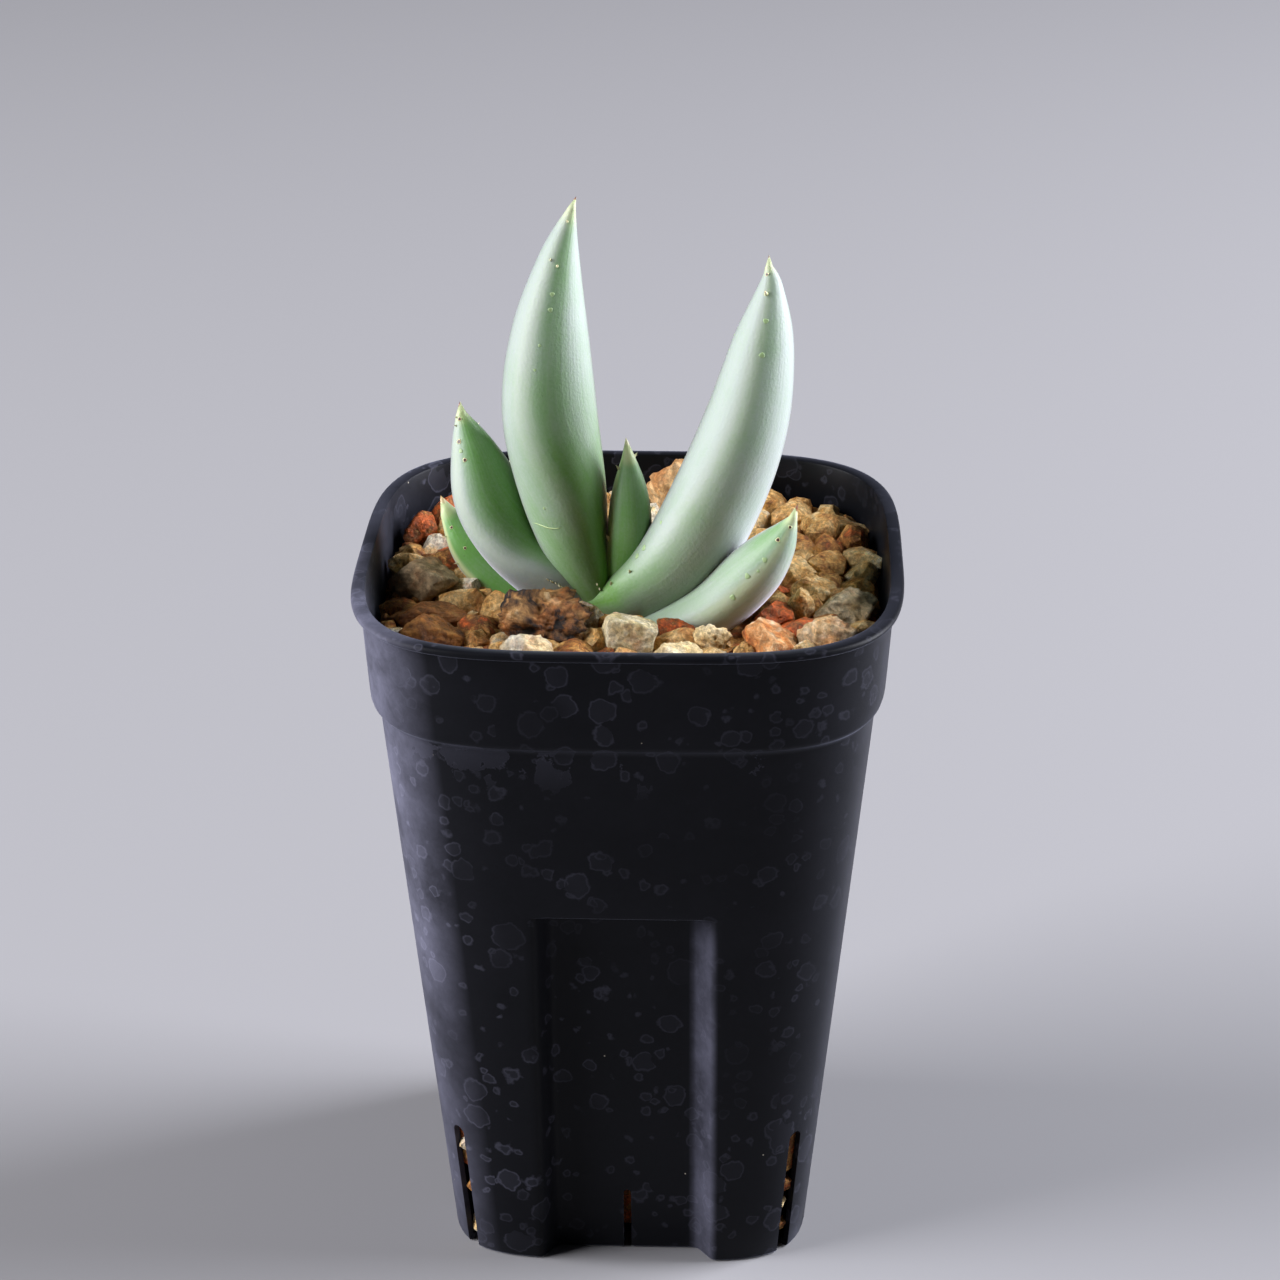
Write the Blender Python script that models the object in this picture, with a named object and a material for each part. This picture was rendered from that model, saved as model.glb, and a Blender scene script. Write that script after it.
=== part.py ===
"""A young two-ranked aloe in a deep square nursery pot filled with coarse grit.

Metres, +Z up. The pot stands on z = 0 with its sides along X and Y and its middle on the Z axis. The
front is -Y. The fan of leaves stands across the front, a little nearer at its right end.
"""

import math
import random

import bmesh
import bpy
from mathutils import Matrix, Vector

MM = 0.001
GAP = 0.3 * MM  # between pieces that touch
SLIVER = 0.002 * MM  # points closer than this are one point

# Pot
RIM_WIDTH = 90.0 * MM
POT_HEIGHT = 120.5 * MM
LIP_OVERHANG = 1.4 * MM
LIP_HEIGHT = 1.3 * MM
LIP_ROUND = 0.35 * MM
COLLAR_HEIGHT = 17.4 * MM
COLLAR_FOOT_WIDTH = 84.9 * MM
STEP_HEIGHT = 1.3 * MM
BODY_TOP_WIDTH = 82.2 * MM
FOOT_WIDTH = 61.7 * MM
WALL = 0.9 * MM
RIM_ROUNDNESS = 3.9  # exponent of the superellipse: higher is squarer
BODY_ROUNDNESS = 4.0
FOOT_ROUNDNESS = 4.85
CHANNEL_WIDTH = 30.5 * MM
PANEL_WIDTH = 22.6 * MM
CHANNEL_DEPTH = 4.0 * MM
CHANNEL_HEIGHT = 70.5 * MM
CORNER_STEPS = 4
FLOOR = 1.2 * MM
FLOOR_RISE = 1.5 * MM
FLOOR_RING = 20.5 * MM  # half width of the raised middle of the floor
FLOOR_ROUNDNESS = 6.0
SLIT_WIDTH = 1.9 * MM
CORNER_SLIT_HEIGHT = 25.3 * MM
CORNER_SLIT_REACH = 6.0 * MM
SIDE_SLIT_HEIGHT = 12.6 * MM
SIDE_SLIT_REACH = 5.0 * MM

# Grit
BED_TOP = 111.0 * MM  # at the middle
BED_SLOPE = 0.045  # it rises towards the back
PEBBLE_SIZES = (4.2 * MM, 3.6 * MM, 3.1 * MM, 2.6 * MM)  # half sizes, placed large to small
PEBBLE_TRIES = 1500  # for each size
PEBBLE_SPACING = 0.74  # of the two half sizes together
PEBBLE_POINTS = 9
PEBBLE_SHAPE = ((0.9, 1.15), (0.8, 1.0), (0.6, 0.8))  # length, width and height for one half size
PEBBLE_RISE = (0.1, 0.45)  # how far its middle stands above the bed
PEBBLE_SEED = 7
ROCK_BLUNTNESS = 0.35  # 0 is an ellipsoid, 1 a box
ROCK_RELIEF = (0.9, 1.02)
ROCK_TILT = 0.25  # radians

# Plant
CROWN = Vector((-4.4 * MM, 0.0, 0.0))
STEM_RADIUS = 4.2 * MM
STEM_FOOT = 97.0 * MM
STEM_TOP = 110.2 * MM
SECTION_SIDES = 14
LEAF_RINGS = 15
TOOTH_LENGTH = 0.9 * MM
TOOTH_BASE = 0.45 * MM
TOOTH_FULL_WIDTH = 6.0 * MM  # half width of a leaf that carries full-sized teeth
TOOTH_SMALLEST = 0.55
MARGIN_KEENNESS = 1.15  # 1 is an ellipse

# Each leaf: the heading of its upright plane in degrees, anticlockwise from +X seen from above, then its
# stations from the base to the neck of the end spine, in mm and degrees: reach from the crown, height,
# half thickness, half width, and how far its near margin turns towards the leaf's upper face; then the
# tip of the spine as reach and height; then the teeth on the near margin and on the far one, as places
# from 0 at the base to 1 at the neck.
LEAVES = {
    "leaf_centre": (
        -10,
        (
            (2.4, 111.2, 1.9, 2.6, 50),
            (3.4, 117.0, 2.9, 3.4, 50),
            (4.2, 123.5, 3.6, 3.8, 50),
            (4.3, 130.5, 2.9, 3.0, 55),
            (4.1, 136.6, 1.1, 1.1, 60),
        ),
        (3.7, 140.0),
        (0.46, 0.86, 0.97),
        (0.30, 0.70, 0.93),
    ),
    "leaf_tall_left": (
        170,
        (
            (1.8, 109.0, 2.4, 4.6, 60),
            (4.4, 117.5, 4.9, 6.2, 45),
            (7.0, 130.0, 7.2, 8.0, 15),
            (9.1, 143.5, 7.6, 8.6, -15),
            (8.9, 157.0, 6.2, 7.0, -18),
            (7.1, 170.0, 3.3, 3.7, -12),
            (5.0, 178.2, 0.7, 0.7, 0),
        ),
        (4.2, 180.4),
        (0.06, 0.60, 0.73, 0.84, 0.95),
        (0.15, 0.38, 0.58, 0.78, 0.93),
    ),
    "leaf_tall_right": (
        -12,
        (
            (-0.5, 108.2, 3.0, 5.6, 55),
            (6.2, 111.4, 5.2, 7.6, 50),
            (13.2, 119.3, 6.9, 8.4, 35),
            (19.3, 131.5, 7.4, 8.6, 18),
            (24.0, 145.0, 6.8, 7.8, 4),
            (26.6, 158.5, 4.9, 5.4, 0),
            (27.6, 167.5, 2.1, 2.2, 0),
            (27.3, 171.0, 0.6, 0.6, 0),
        ),
        (27.3, 173.0),
        (0.13, 0.22, 0.33, 0.60, 0.76, 0.94),
        (0.25, 0.45, 0.66, 0.85),
    ),
    "leaf_medium_left": (
        166,
        (
            (4.2, 107.6, 2.4, 5.0, 50),
            (9.6, 112.6, 4.4, 7.2, 40),
            (15.6, 119.0, 5.2, 7.4, 5),
            (20.2, 127.5, 5.3, 6.6, -25),
            (22.9, 135.6, 3.6, 3.8, -30),
            (24.7, 141.4, 0.9, 0.9, -30),
        ),
        (24.8, 143.6),
        (0.30, 0.62, 0.83, 0.93, 0.98),
        (0.40, 0.66, 0.88),
    ),
    "leaf_small_left": (
        162,
        (
            (4.6, 104.6, 1.8, 4.0, 20),
            (11.0, 107.6, 2.8, 5.6, 10),
            (18.0, 111.6, 3.4, 5.4, -10),
            (24.2, 117.3, 3.0, 4.0, -30),
            (28.4, 122.8, 1.2, 1.4, -30),
        ),
        (29.5, 125.5),
        (0.55, 0.72, 0.86),
        (0.60, 0.82),
    ),
    "leaf_small_right": (
        -24,
        (
            (4.6, 104.8, 2.2, 4.6, 20),
            (11.5, 107.8, 3.8, 7.0, 10),
            (20.4, 113.4, 4.6, 7.2, 0),
            (27.2, 120.8, 4.7, 6.0, -12),
            (31.4, 126.4, 3.1, 3.8, -20),
            (34.0, 131.2, 0.8, 0.8, -20),
        ),
        (34.8, 134.0),
        (0.45, 0.62, 0.80, 0.91),
        (0.50, 0.70, 0.88),
    ),
}
# From the youngest leaf to the oldest: each clasps those before it.
LEAF_ORDER = tuple(LEAVES)[:3] + ("leaf_medium_left", "leaf_small_left", "leaf_small_right")

# The larger stones: middle, half sizes and turn about Z in degrees, in mm, then colour, corners and seed.
STONES = {
    "stone_brown": ((-13.0, -15.0, 113.0), (8.2, 6.0, 5.0), -4, "#6b4a2e", 40, 3),
    "stone_square": ((0.6, -20.4, 113.0), (4.9, 4.0, 3.9), 8, "#a99668", 18, 5),
    "stone_cream_patch": ((-15.0, -28.6, 111.6), (5.6, 5.2, 4.0), 0, "#d8c39a", 20, 8),
    "stone_cream_front": ((8.4, -28.0, 111.8), (4.8, 4.6, 3.9), 12, "#d9bf8c", 20, 4),
    "stone_knobbly": ((13.8, -21.4, 113.0), (3.5, 3.2, 2.9), 0, "#d6bd8a", 22, 2),
    "stone_orange": ((23.2, -22.6, 112.4), (4.7, 5.0, 4.3), -6, "#b4723c", 22, 9),
    "stone_granular": ((32.8, -19.8, 112.2), (5.2, 5.2, 4.6), -14, "#a9794b", 24, 6),
    "stone_oval": ((35.6, -8.4, 112.6), (5.4, 4.2, 3.4), -18, "#a5875c", 24, 1),
    "stone_grey": ((-34.9, 1.2, 113.0), (6.4, 5.2, 4.4), 14, "#a8906c", 20, 12),
    "stone_long": ((-32.2, -11.6, 112.0), (8.0, 3.2, 2.6), -6, "#9c6b41", 18, 11),
    "stone_tan": ((-31.4, -20.8, 111.8), (5.6, 4.4, 4.2), -10, "#ad8350", 20, 10),
    "stone_back": ((7.0, 33.6, 115.8), (6.4, 5.6, 5.6), 10, "#b58a5e", 26, 13),
}

BLACK_PLASTIC = "#16171c"
GRIT = "#a37c4f"
LEAF_GREEN = "#9fbfa2"
STEM_GREEN = "#7f9a62"


def clear_scene():
    for obj in list(bpy.data.objects):
        bpy.data.objects.remove(obj)


def linear(hex_colour):
    """The linear RGBA value of an sRGB hex colour."""
    channels = [int(hex_colour[i : i + 2], 16) / 255 for i in (1, 3, 5)]
    return [c / 12.92 if c <= 0.04045 else ((c + 0.055) / 1.055) ** 2.4 for c in channels] + [1.0]


def material(name, hex_colour, roughness):
    made = bpy.data.materials.new(name)
    made.use_nodes = True
    shader = made.node_tree.nodes["Principled BSDF"]
    shader.inputs["Base Color"].default_value = linear(hex_colour)
    shader.inputs["Roughness"].default_value = roughness
    shader.inputs["Metallic"].default_value = 0.0
    return made


def add_object(name, bm, finish=None):
    """A new object of this mesh, with its normals made to point out."""
    bmesh.ops.recalc_face_normals(bm, faces=bm.faces)
    mesh = bpy.data.meshes.new(name)
    bm.to_mesh(mesh)
    bm.free()
    if finish:
        mesh.materials.append(finish)
    obj = bpy.data.objects.new(name, mesh)
    bpy.context.scene.collection.objects.link(obj)
    return obj


def combine(obj, others, operation, solver="EXACT"):
    """Joins the others to the object, or cuts them out of it, and removes them."""
    tools = bpy.data.collections.new("tools")
    bpy.context.scene.collection.children.link(tools)
    for other in others:
        bpy.context.scene.collection.objects.unlink(other)
        tools.objects.link(other)
    cut = obj.modifiers.new("combine", "BOOLEAN")
    cut.operation = operation
    cut.solver = solver
    cut.operand_type = "COLLECTION"
    cut.collection = tools
    seen = obj.evaluated_get(bpy.context.evaluated_depsgraph_get())
    result = bpy.data.meshes.new_from_object(seen)
    result.name = obj.name
    obj.modifiers.clear()
    obj.data = result
    for other in others:
        bpy.data.objects.remove(other)
    bpy.data.collections.remove(tools)


def keep_largest(obj):
    """Drops loose scraps that a cut leaves beside the main body."""
    bm = bmesh.new()
    bm.from_mesh(obj.data)
    left = set(bm.faces)
    islands = []
    while left:
        island = {left.pop()}
        edge = set(island)
        while edge:
            edge = {other for face in edge for side in face.edges for other in side.link_faces} & left
            left -= edge
            island |= edge
        islands.append(island)
    largest = max(islands, key=lambda island: sum(face.calc_area() for face in island))
    scraps = [face for island in islands if island is not largest for face in island]
    bmesh.ops.delete(bm, geom=scraps, context="FACES")
    bm.to_mesh(obj.data)
    bm.free()


def loft(rings, last_point=None):
    """A closed body through rings of as many points each, with flat ends or ending in a point."""
    bm = bmesh.new()
    rows = [[bm.verts.new(p) for p in ring] for ring in rings]
    count = len(rows[0])
    for low, high in zip(rows, rows[1:]):
        for i in range(count):
            j = (i + 1) % count
            bm.faces.new((low[i], low[j], high[j], high[i]))
    bm.faces.new(rows[0][::-1])
    if last_point is None:
        bm.faces.new(rows[-1])
    else:
        tip = bm.verts.new(last_point)
        for i in range(count):
            bm.faces.new((rows[-1][i], rows[-1][(i + 1) % count], tip))
    bmesh.ops.remove_doubles(bm, verts=bm.verts, dist=SLIVER)
    bmesh.ops.triangulate(bm, faces=[face for face in bm.faces if len(face.verts) == 4])
    return bm


def outline(half, roundness, channel=0.0, spread=0.0):
    """A square with round corners, anticlockwise from its front left corner, with a channel this deep in
    each side. `spread` widens the channel, for the inner face of the wall."""
    edge = CHANNEL_WIDTH / 2 + spread
    panel = PANEL_WIDTH / 2 + spread
    slope = edge - panel

    def out(along):
        return (half**roundness - abs(along) ** roundness) ** (1 / roundness)

    edge_angle = math.atan2(edge, out(edge))
    corner = []
    for step in range(CORNER_STEPS + 1):
        angle = math.pi / 4 + (edge_angle - math.pi / 4) * step / (CORNER_STEPS + 1)
        size = abs(math.cos(angle)) ** roundness + abs(math.sin(angle)) ** roundness
        radius = half / size ** (1 / roundness)
        corner.append((radius * math.sin(angle), radius * math.cos(angle)))
    sunk = ((edge, 0.0), (edge - 0.3 * slope, 0.2), (edge - 0.7 * slope, 0.8), (panel, 1.0))
    right = [(along, out(along) - channel * share) for along, share in sunk]
    side = [(-along, reach) for along, reach in corner]
    side += [(-along, reach) for along, reach in right]
    side += right[::-1] + corner[:0:-1]
    points = []
    for turn in range(4):
        spin = Matrix.Rotation(turn * math.pi / 2, 2)
        points += [spin @ Vector((along, -reach)) for along, reach in side]
    return points


def ring(z, half, roundness, channel=0.0, spread=0.0):
    return [Vector((p.x, p.y, z)) for p in outline(half, roundness, channel, spread)]


def body_half(z):
    """Half width of the pot's tapered body at this height."""
    top = POT_HEIGHT - COLLAR_HEIGHT - STEP_HEIGHT
    return (FOOT_WIDTH + (BODY_TOP_WIDTH - FOOT_WIDTH) * z / top) / 2


def body_roundness(z):
    top = POT_HEIGHT - COLLAR_HEIGHT - STEP_HEIGHT
    return FOOT_ROUNDNESS + (BODY_ROUNDNESS - FOOT_ROUNDNESS) * min(z / top, 1.0)


def inner_rings(inset, rise, foot, top, top_half):
    """Rings up the inside of the pot, this far in from its outer face, from `foot` to `top`."""
    body_top = POT_HEIGHT - COLLAR_HEIGHT - STEP_HEIGHT
    collar_foot = POT_HEIGHT - COLLAR_HEIGHT
    ledge = CHANNEL_HEIGHT + rise
    spread = inset * math.tan(math.pi / 8)
    rings = []
    for z, channel in ((foot, CHANNEL_DEPTH), (ledge, CHANNEL_DEPTH), (ledge, 0.0), (body_top, 0.0)):
        rings.append(ring(z, body_half(z) - inset, body_roundness(z), channel, spread))
    rings.append(ring(collar_foot, COLLAR_FOOT_WIDTH / 2 - inset, BODY_ROUNDNESS, 0.0, spread))
    rings.append(ring(top, top_half - inset, RIM_ROUNDNESS, 0.0, spread))
    return rings


def slit_cutter(height, inner, outer, angle):
    """An upright blade with a round top, from `inner` to `outer` along its heading."""
    bm = bmesh.new()
    radius = SLIT_WIDTH / 2
    steps = 6
    profile = [(-radius, -2 * MM), (radius, -2 * MM)]
    for step in range(steps + 1):
        turn = math.pi * step / steps
        profile.append((radius * math.cos(turn), height - radius + radius * math.sin(turn)))
    face = bm.faces.new([bm.verts.new((x, -inner, z)) for x, z in profile])
    grown = bmesh.ops.extrude_face_region(bm, geom=[face])
    moved = [v for v in grown["geom"] if isinstance(v, bmesh.types.BMVert)]
    bmesh.ops.translate(bm, verts=moved, vec=(0, inner - outer, 0))
    bmesh.ops.rotate(bm, verts=bm.verts, cent=(0, 0, 0), matrix=Matrix.Rotation(angle, 3, "Z"))
    return add_object("slit cutter", bm)


def make_pot():
    rim_half = RIM_WIDTH / 2
    collar_half = rim_half - LIP_OVERHANG
    body_top = POT_HEIGHT - COLLAR_HEIGHT - STEP_HEIGHT
    lip_foot = POT_HEIGHT - LIP_HEIGHT
    outer = (
        (FLOOR_RISE, FLOOR_RING - FLOOR_RISE, FLOOR_ROUNDNESS, 0.0),
        (0.0, FLOOR_RING, FLOOR_ROUNDNESS, 0.0),
        (0.0, body_half(0.0), FOOT_ROUNDNESS, CHANNEL_DEPTH),
        (CHANNEL_HEIGHT, body_half(CHANNEL_HEIGHT), body_roundness(CHANNEL_HEIGHT), CHANNEL_DEPTH),
        (CHANNEL_HEIGHT, body_half(CHANNEL_HEIGHT), body_roundness(CHANNEL_HEIGHT), 0.0),
        (body_top, BODY_TOP_WIDTH / 2, BODY_ROUNDNESS, 0.0),
        (POT_HEIGHT - COLLAR_HEIGHT, COLLAR_FOOT_WIDTH / 2, BODY_ROUNDNESS, 0.0),
        (lip_foot, collar_half, RIM_ROUNDNESS, 0.0),
        (lip_foot, rim_half - LIP_ROUND, RIM_ROUNDNESS, 0.0),
        (lip_foot + LIP_ROUND, rim_half, RIM_ROUNDNESS, 0.0),
        (POT_HEIGHT - LIP_ROUND, rim_half, RIM_ROUNDNESS, 0.0),
        (POT_HEIGHT, rim_half - 2 * LIP_ROUND, RIM_ROUNDNESS, 0.0),
        (POT_HEIGHT, collar_half - WALL + LIP_ROUND, RIM_ROUNDNESS, 0.0),
    )
    rings = [ring(*row) for row in outer]
    rings += inner_rings(WALL, WALL, FLOOR, POT_HEIGHT - LIP_ROUND, collar_half)[::-1]
    rings.append(ring(FLOOR, FLOOR_RING + FLOOR, FLOOR_ROUNDNESS))
    rings.append(ring(FLOOR + FLOOR_RISE, FLOOR_RING - FLOOR_RISE + FLOOR, FLOOR_ROUNDNESS))
    pot = add_object("pot", loft(rings), material("black plastic", BLACK_PLASTIC, 0.35))
    corner = body_half(0.0) * math.sqrt(2) * 2 ** (-1 / FOOT_ROUNDNESS)
    slits = []
    for quarter in range(4):
        side = quarter * math.pi / 2
        far = RIM_WIDTH / 2
        foot = body_half(0.0) - CHANNEL_DEPTH
        slits.append(slit_cutter(SIDE_SLIT_HEIGHT, foot - SIDE_SLIT_REACH, far, side))
        diagonal = side + math.pi / 4
        slits.append(slit_cutter(CORNER_SLIT_HEIGHT, corner - CORNER_SLIT_REACH, 1.2 * far, diagonal))
    combine(pot, slits, "DIFFERENCE")
    return pot


def hull(points):
    bm = bmesh.new()
    verts = [bm.verts.new(p) for p in points]
    made = bmesh.ops.convex_hull(bm, input=verts)
    spare = {v for v in made["geom_interior"] + made["geom_unused"] if isinstance(v, bmesh.types.BMVert)}
    bmesh.ops.delete(bm, geom=list(spare), context="VERTS")
    return bm


def rock(middle, sizes, turn, corners, draw, grow=0.0):
    """An angular stone: the hull of points scattered evenly over a blunt ellipsoid."""
    points = []
    for i in range(corners):
        height = 1 - 2 * (i + 0.5) / corners
        around = i * math.pi * (3 - math.sqrt(5)) + draw.uniform(-ROCK_TILT, ROCK_TILT)
        flat = math.sqrt(1 - height * height)
        way = Vector((flat * math.cos(around), flat * math.sin(around), height))
        blunt = 1.0 / max(abs(way.x), abs(way.y), abs(way.z)) ** ROCK_BLUNTNESS
        size = draw.uniform(*ROCK_RELIEF) * blunt
        points.append(Vector(way[axis] * sizes[axis] * size for axis in range(3)))
    tilt = Matrix.Rotation(draw.uniform(-ROCK_TILT, ROCK_TILT), 3, "X")
    spin = Matrix.Rotation(turn, 3, "Z") @ tilt
    place = Vector(middle)
    return [place + spin @ (p + p.normalized() * grow) for p in points]


def stone(name, grow=0.0):
    """Corner points of one of the larger stones."""
    middle, sizes, turn, _, corners, seed = STONES[name]
    draw = random.Random(seed)
    place = [value * MM for value in middle]
    halves = [value * MM for value in sizes]
    return rock(place, halves, math.radians(turn), corners, draw, grow)


def make_stones():
    made = []
    for name, (_, _, _, colour, _, _) in STONES.items():
        finish = material(name.replace("_", " "), colour, 0.85)
        made.append(add_object(name, hull(stone(name)), finish))
    return made


def curve_value(values, place):
    """The value at `place`, from 0 to 1, on a smooth curve through evenly spaced values."""
    last = len(values) - 1
    at = min(max(place * last, 0.0), last - 1e-9)
    i = int(at)
    t = at - i
    a = values[max(i - 1, 0)]
    b = values[i]
    c = values[i + 1]
    d = values[min(i + 2, last)]
    return b + 0.5 * t * (c - a + t * (2 * a - 5 * b + 4 * c - d + t * (3 * (b - c) + d - a)))


def leaf_frame(name, place):
    """Middle, width axis, thickness axis and half sizes of a leaf at `place` along it."""
    heading, stations, _, _, _ = LEAVES[name]
    columns = list(zip(*stations))
    along = Vector((math.cos(math.radians(heading)), math.sin(math.radians(heading)), 0))
    front = Vector((along.y, -along.x, 0))
    if front.y > 0:
        front = -front

    def middle(at):
        reach = curve_value(columns[0], at) * MM
        return CROWN + along * reach + Vector((0, 0, curve_value(columns[1], at) * MM))

    step = 0.01
    tangent = (middle(min(place + step, 1)) - middle(max(place - step, 0))).normalized()
    outward = (along - tangent * along.dot(tangent)).normalized()
    turn = math.radians(curve_value(columns[4], place))
    width_axis = front * math.cos(turn) - outward * math.sin(turn)
    thick_axis = outward * math.cos(turn) + front * math.sin(turn)
    half_thick = curve_value(columns[2], place) * MM
    half_wide = curve_value(columns[3], place) * MM
    return middle(place), tangent, width_axis, thick_axis, half_thick, half_wide


def leaf_section(name, place, grow=0.0):
    """A lens-shaped ring with its two margins slightly keen."""
    middle, _, wide, thick, half_thick, half_wide = leaf_frame(name, place)
    points = []
    for i in range(SECTION_SIDES):
        turn = 2 * math.pi * i / SECTION_SIDES
        across = (half_wide + grow) * math.cos(turn)
        bulge = abs(math.sin(turn)) ** MARGIN_KEENNESS
        depth = math.copysign((half_thick + grow) * bulge, math.sin(turn))
        points.append(middle + wide * across + thick * depth)
    return points


def leaf_body(name, grow=0.0):
    tip_reach, tip_height = LEAVES[name][2]
    heading = math.radians(LEAVES[name][0])
    tip = CROWN + Vector((math.cos(heading), math.sin(heading), 0)) * tip_reach * MM
    tip.z = tip_height * MM + grow
    sections = [leaf_section(name, i / (LEAF_RINGS - 1), grow) for i in range(LEAF_RINGS)]
    back = leaf_frame(name, 0)[1] * grow
    sections[0] = [point - back for point in sections[0]]
    return loft(sections, tip)


def tooth(name, place, side, grow=0.0):
    """A small triangular tooth on a margin, leaning towards the leaf's tip."""
    middle, tangent, wide, thick, _, half_wide = leaf_frame(name, place)
    size = TOOTH_SMALLEST + (1 - TOOTH_SMALLEST) * min(half_wide / TOOTH_FULL_WIDTH, 1)
    root = middle + wide * side * (half_wide - 0.5 * TOOTH_LENGTH)
    tip = middle + wide * side * (half_wide + TOOTH_LENGTH * size * 0.8) + tangent * TOOTH_LENGTH * 0.5
    base = TOOTH_BASE * (0.8 + size)
    corners = (tangent * base, thick * base * 0.7 - tangent * base, -thick * base * 0.7 - tangent * base)
    points = [root + corner for corner in corners] + [tip]
    middle = sum(points, Vector()) / len(points)
    return add_object("tooth", hull([p + (p - middle).normalized() * 2 * grow for p in points]))


def teeth(name, grow=0.0):
    near, far = LEAVES[name][3:]
    return [tooth(name, place, 1, grow) for place in near] + [tooth(name, place, -1, grow) for place in far]


def stem_body(grow=0.0):
    bm = bmesh.new()
    depth = STEM_TOP - STEM_FOOT + 2 * grow
    bmesh.ops.create_cone(
        bm,
        cap_ends=True,
        segments=16,
        radius1=STEM_RADIUS + grow,
        radius2=STEM_RADIUS * 0.8 + grow,
        depth=depth,
        matrix=Matrix.Translation(CROWN + Vector((0, 0, (STEM_TOP + STEM_FOOT) / 2))),
    )
    return bm


def make_leaves():
    leaves = []
    finish = material("aloe leaf", LEAF_GREEN, 0.45)
    for order, name in enumerate(LEAF_ORDER):
        leaf = add_object(name, leaf_body(name), finish)
        combine(leaf, teeth(name), "UNION", "MANIFOLD")
        clasped = [add_object("stem room", stem_body(GAP))]
        for other in LEAF_ORDER[:order]:
            clasped += [add_object("clasped", leaf_body(other, GAP))] + teeth(other, GAP)
        combine(leaf, clasped, "DIFFERENCE", "MANIFOLD")
        keep_largest(leaf)
        leaves.append(leaf)
    return leaves


def make_stem():
    return add_object("stem", stem_body(), material("stem", STEM_GREEN, 0.6))


def free_of(spots, x, y, size):
    """True where a pebble this large keeps its distance from the spots already taken."""
    for other_x, other_y, other_size in spots:
        if math.hypot(x - other_x, y - other_y) < PEBBLE_SPACING * (size + other_size):
            return False
    return True


def inside_pot(x, y, size):
    half = COLLAR_FOOT_WIDTH / 2 - WALL - GAP - 0.6 * size
    return abs(x) ** BODY_ROUNDNESS + abs(y) ** BODY_ROUNDNESS < half**BODY_ROUNDNESS


def leaf_spots():
    """The places on the grit that the leaves take up."""
    spots = [(CROWN.x, CROWN.y, 4 * MM)]
    for name in LEAVES:
        for step in range(9):
            middle, _, _, _, _, half_wide = leaf_frame(name, step / 16)
            if middle.z < BED_TOP + 7 * MM:
                spots.append((middle.x, middle.y - 0.5 * half_wide, half_wide))
    return spots


def pebble_spots():
    draw = random.Random(PEBBLE_SEED)
    taken = leaf_spots()
    for middle, sizes, _, _, _, _ in STONES.values():
        taken.append((middle[0] * MM, middle[1] * MM, 0.8 * MM * (sizes[0] + sizes[1]) / 2))
    fixed = len(taken)
    half = COLLAR_FOOT_WIDTH / 2
    for size in PEBBLE_SIZES:
        for _ in range(PEBBLE_TRIES):
            x, y = draw.uniform(-half, half), draw.uniform(-half, half)
            own = size * draw.uniform(0.9, 1.1)
            if inside_pot(x, y, own) and free_of(taken, x, y, own):
                taken.append((x, y, own))
    return taken[fixed:]


def make_bed():
    top_half = RIM_WIDTH / 2 - LIP_OVERHANG
    foot = FLOOR + FLOOR_RISE + GAP
    share = (BED_TOP - POT_HEIGHT + COLLAR_HEIGHT) / (COLLAR_HEIGHT - LIP_ROUND)
    bed_half = COLLAR_FOOT_WIDTH / 2 + (top_half - COLLAR_FOOT_WIDTH / 2) * share
    rings = inner_rings(WALL + GAP, WALL + GAP, foot, BED_TOP, bed_half)
    for point in rings[-1]:
        point.z += BED_SLOPE * point.y
    finish = material("grit", GRIT, 0.9)
    bed = add_object("grit_bed", loft(rings), finish)
    draw = random.Random(PEBBLE_SEED + 1)
    pebbles = []
    for x, y, size in pebble_spots():
        sizes = [size * draw.uniform(*share) for share in PEBBLE_SHAPE]
        middle = (x, y, BED_TOP + BED_SLOPE * y + draw.uniform(*PEBBLE_RISE) * size)
        points = rock(middle, sizes, draw.uniform(0, math.pi), PEBBLE_POINTS, draw)
        pebbles.append(add_object("pebble", hull(points)))
    combine(bed, pebbles, "UNION", "MANIFOLD")
    room = inner_rings(WALL + 0.9 * GAP, WALL + 0.9 * GAP, foot / 2, POT_HEIGHT, top_half)
    combine(bed, [add_object("pot room", loft(room))], "INTERSECT", "MANIFOLD")
    rooms = [add_object("stone room", hull(stone(name, GAP))) for name in STONES]
    rooms += [add_object("leaf room", leaf_body(name, GAP)) for name in LEAVES]
    rooms.append(add_object("stem room", stem_body(GAP)))
    combine(bed, rooms, "DIFFERENCE", "MANIFOLD")
    keep_largest(bed)
    return bed


def main():
    clear_scene()
    make_pot()
    make_bed()
    make_stem()
    make_leaves()
    make_stones()
    for obj in bpy.data.objects:
        obj.data.set_sharp_from_angle(angle=math.radians(35))


main()
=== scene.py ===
"""Looks for a young aloe in a deep square nursery pot of coarse grit.

Laid out as an add-on and run as a script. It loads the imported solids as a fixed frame, puts detailed
pieces in their places, and adds a floor, lights and a camera. Metres, +Z up, the front at -Y.
"""

import math
import random
from functools import partial

import bmesh
import bpy
from mathutils import Matrix, Vector, noise


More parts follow.
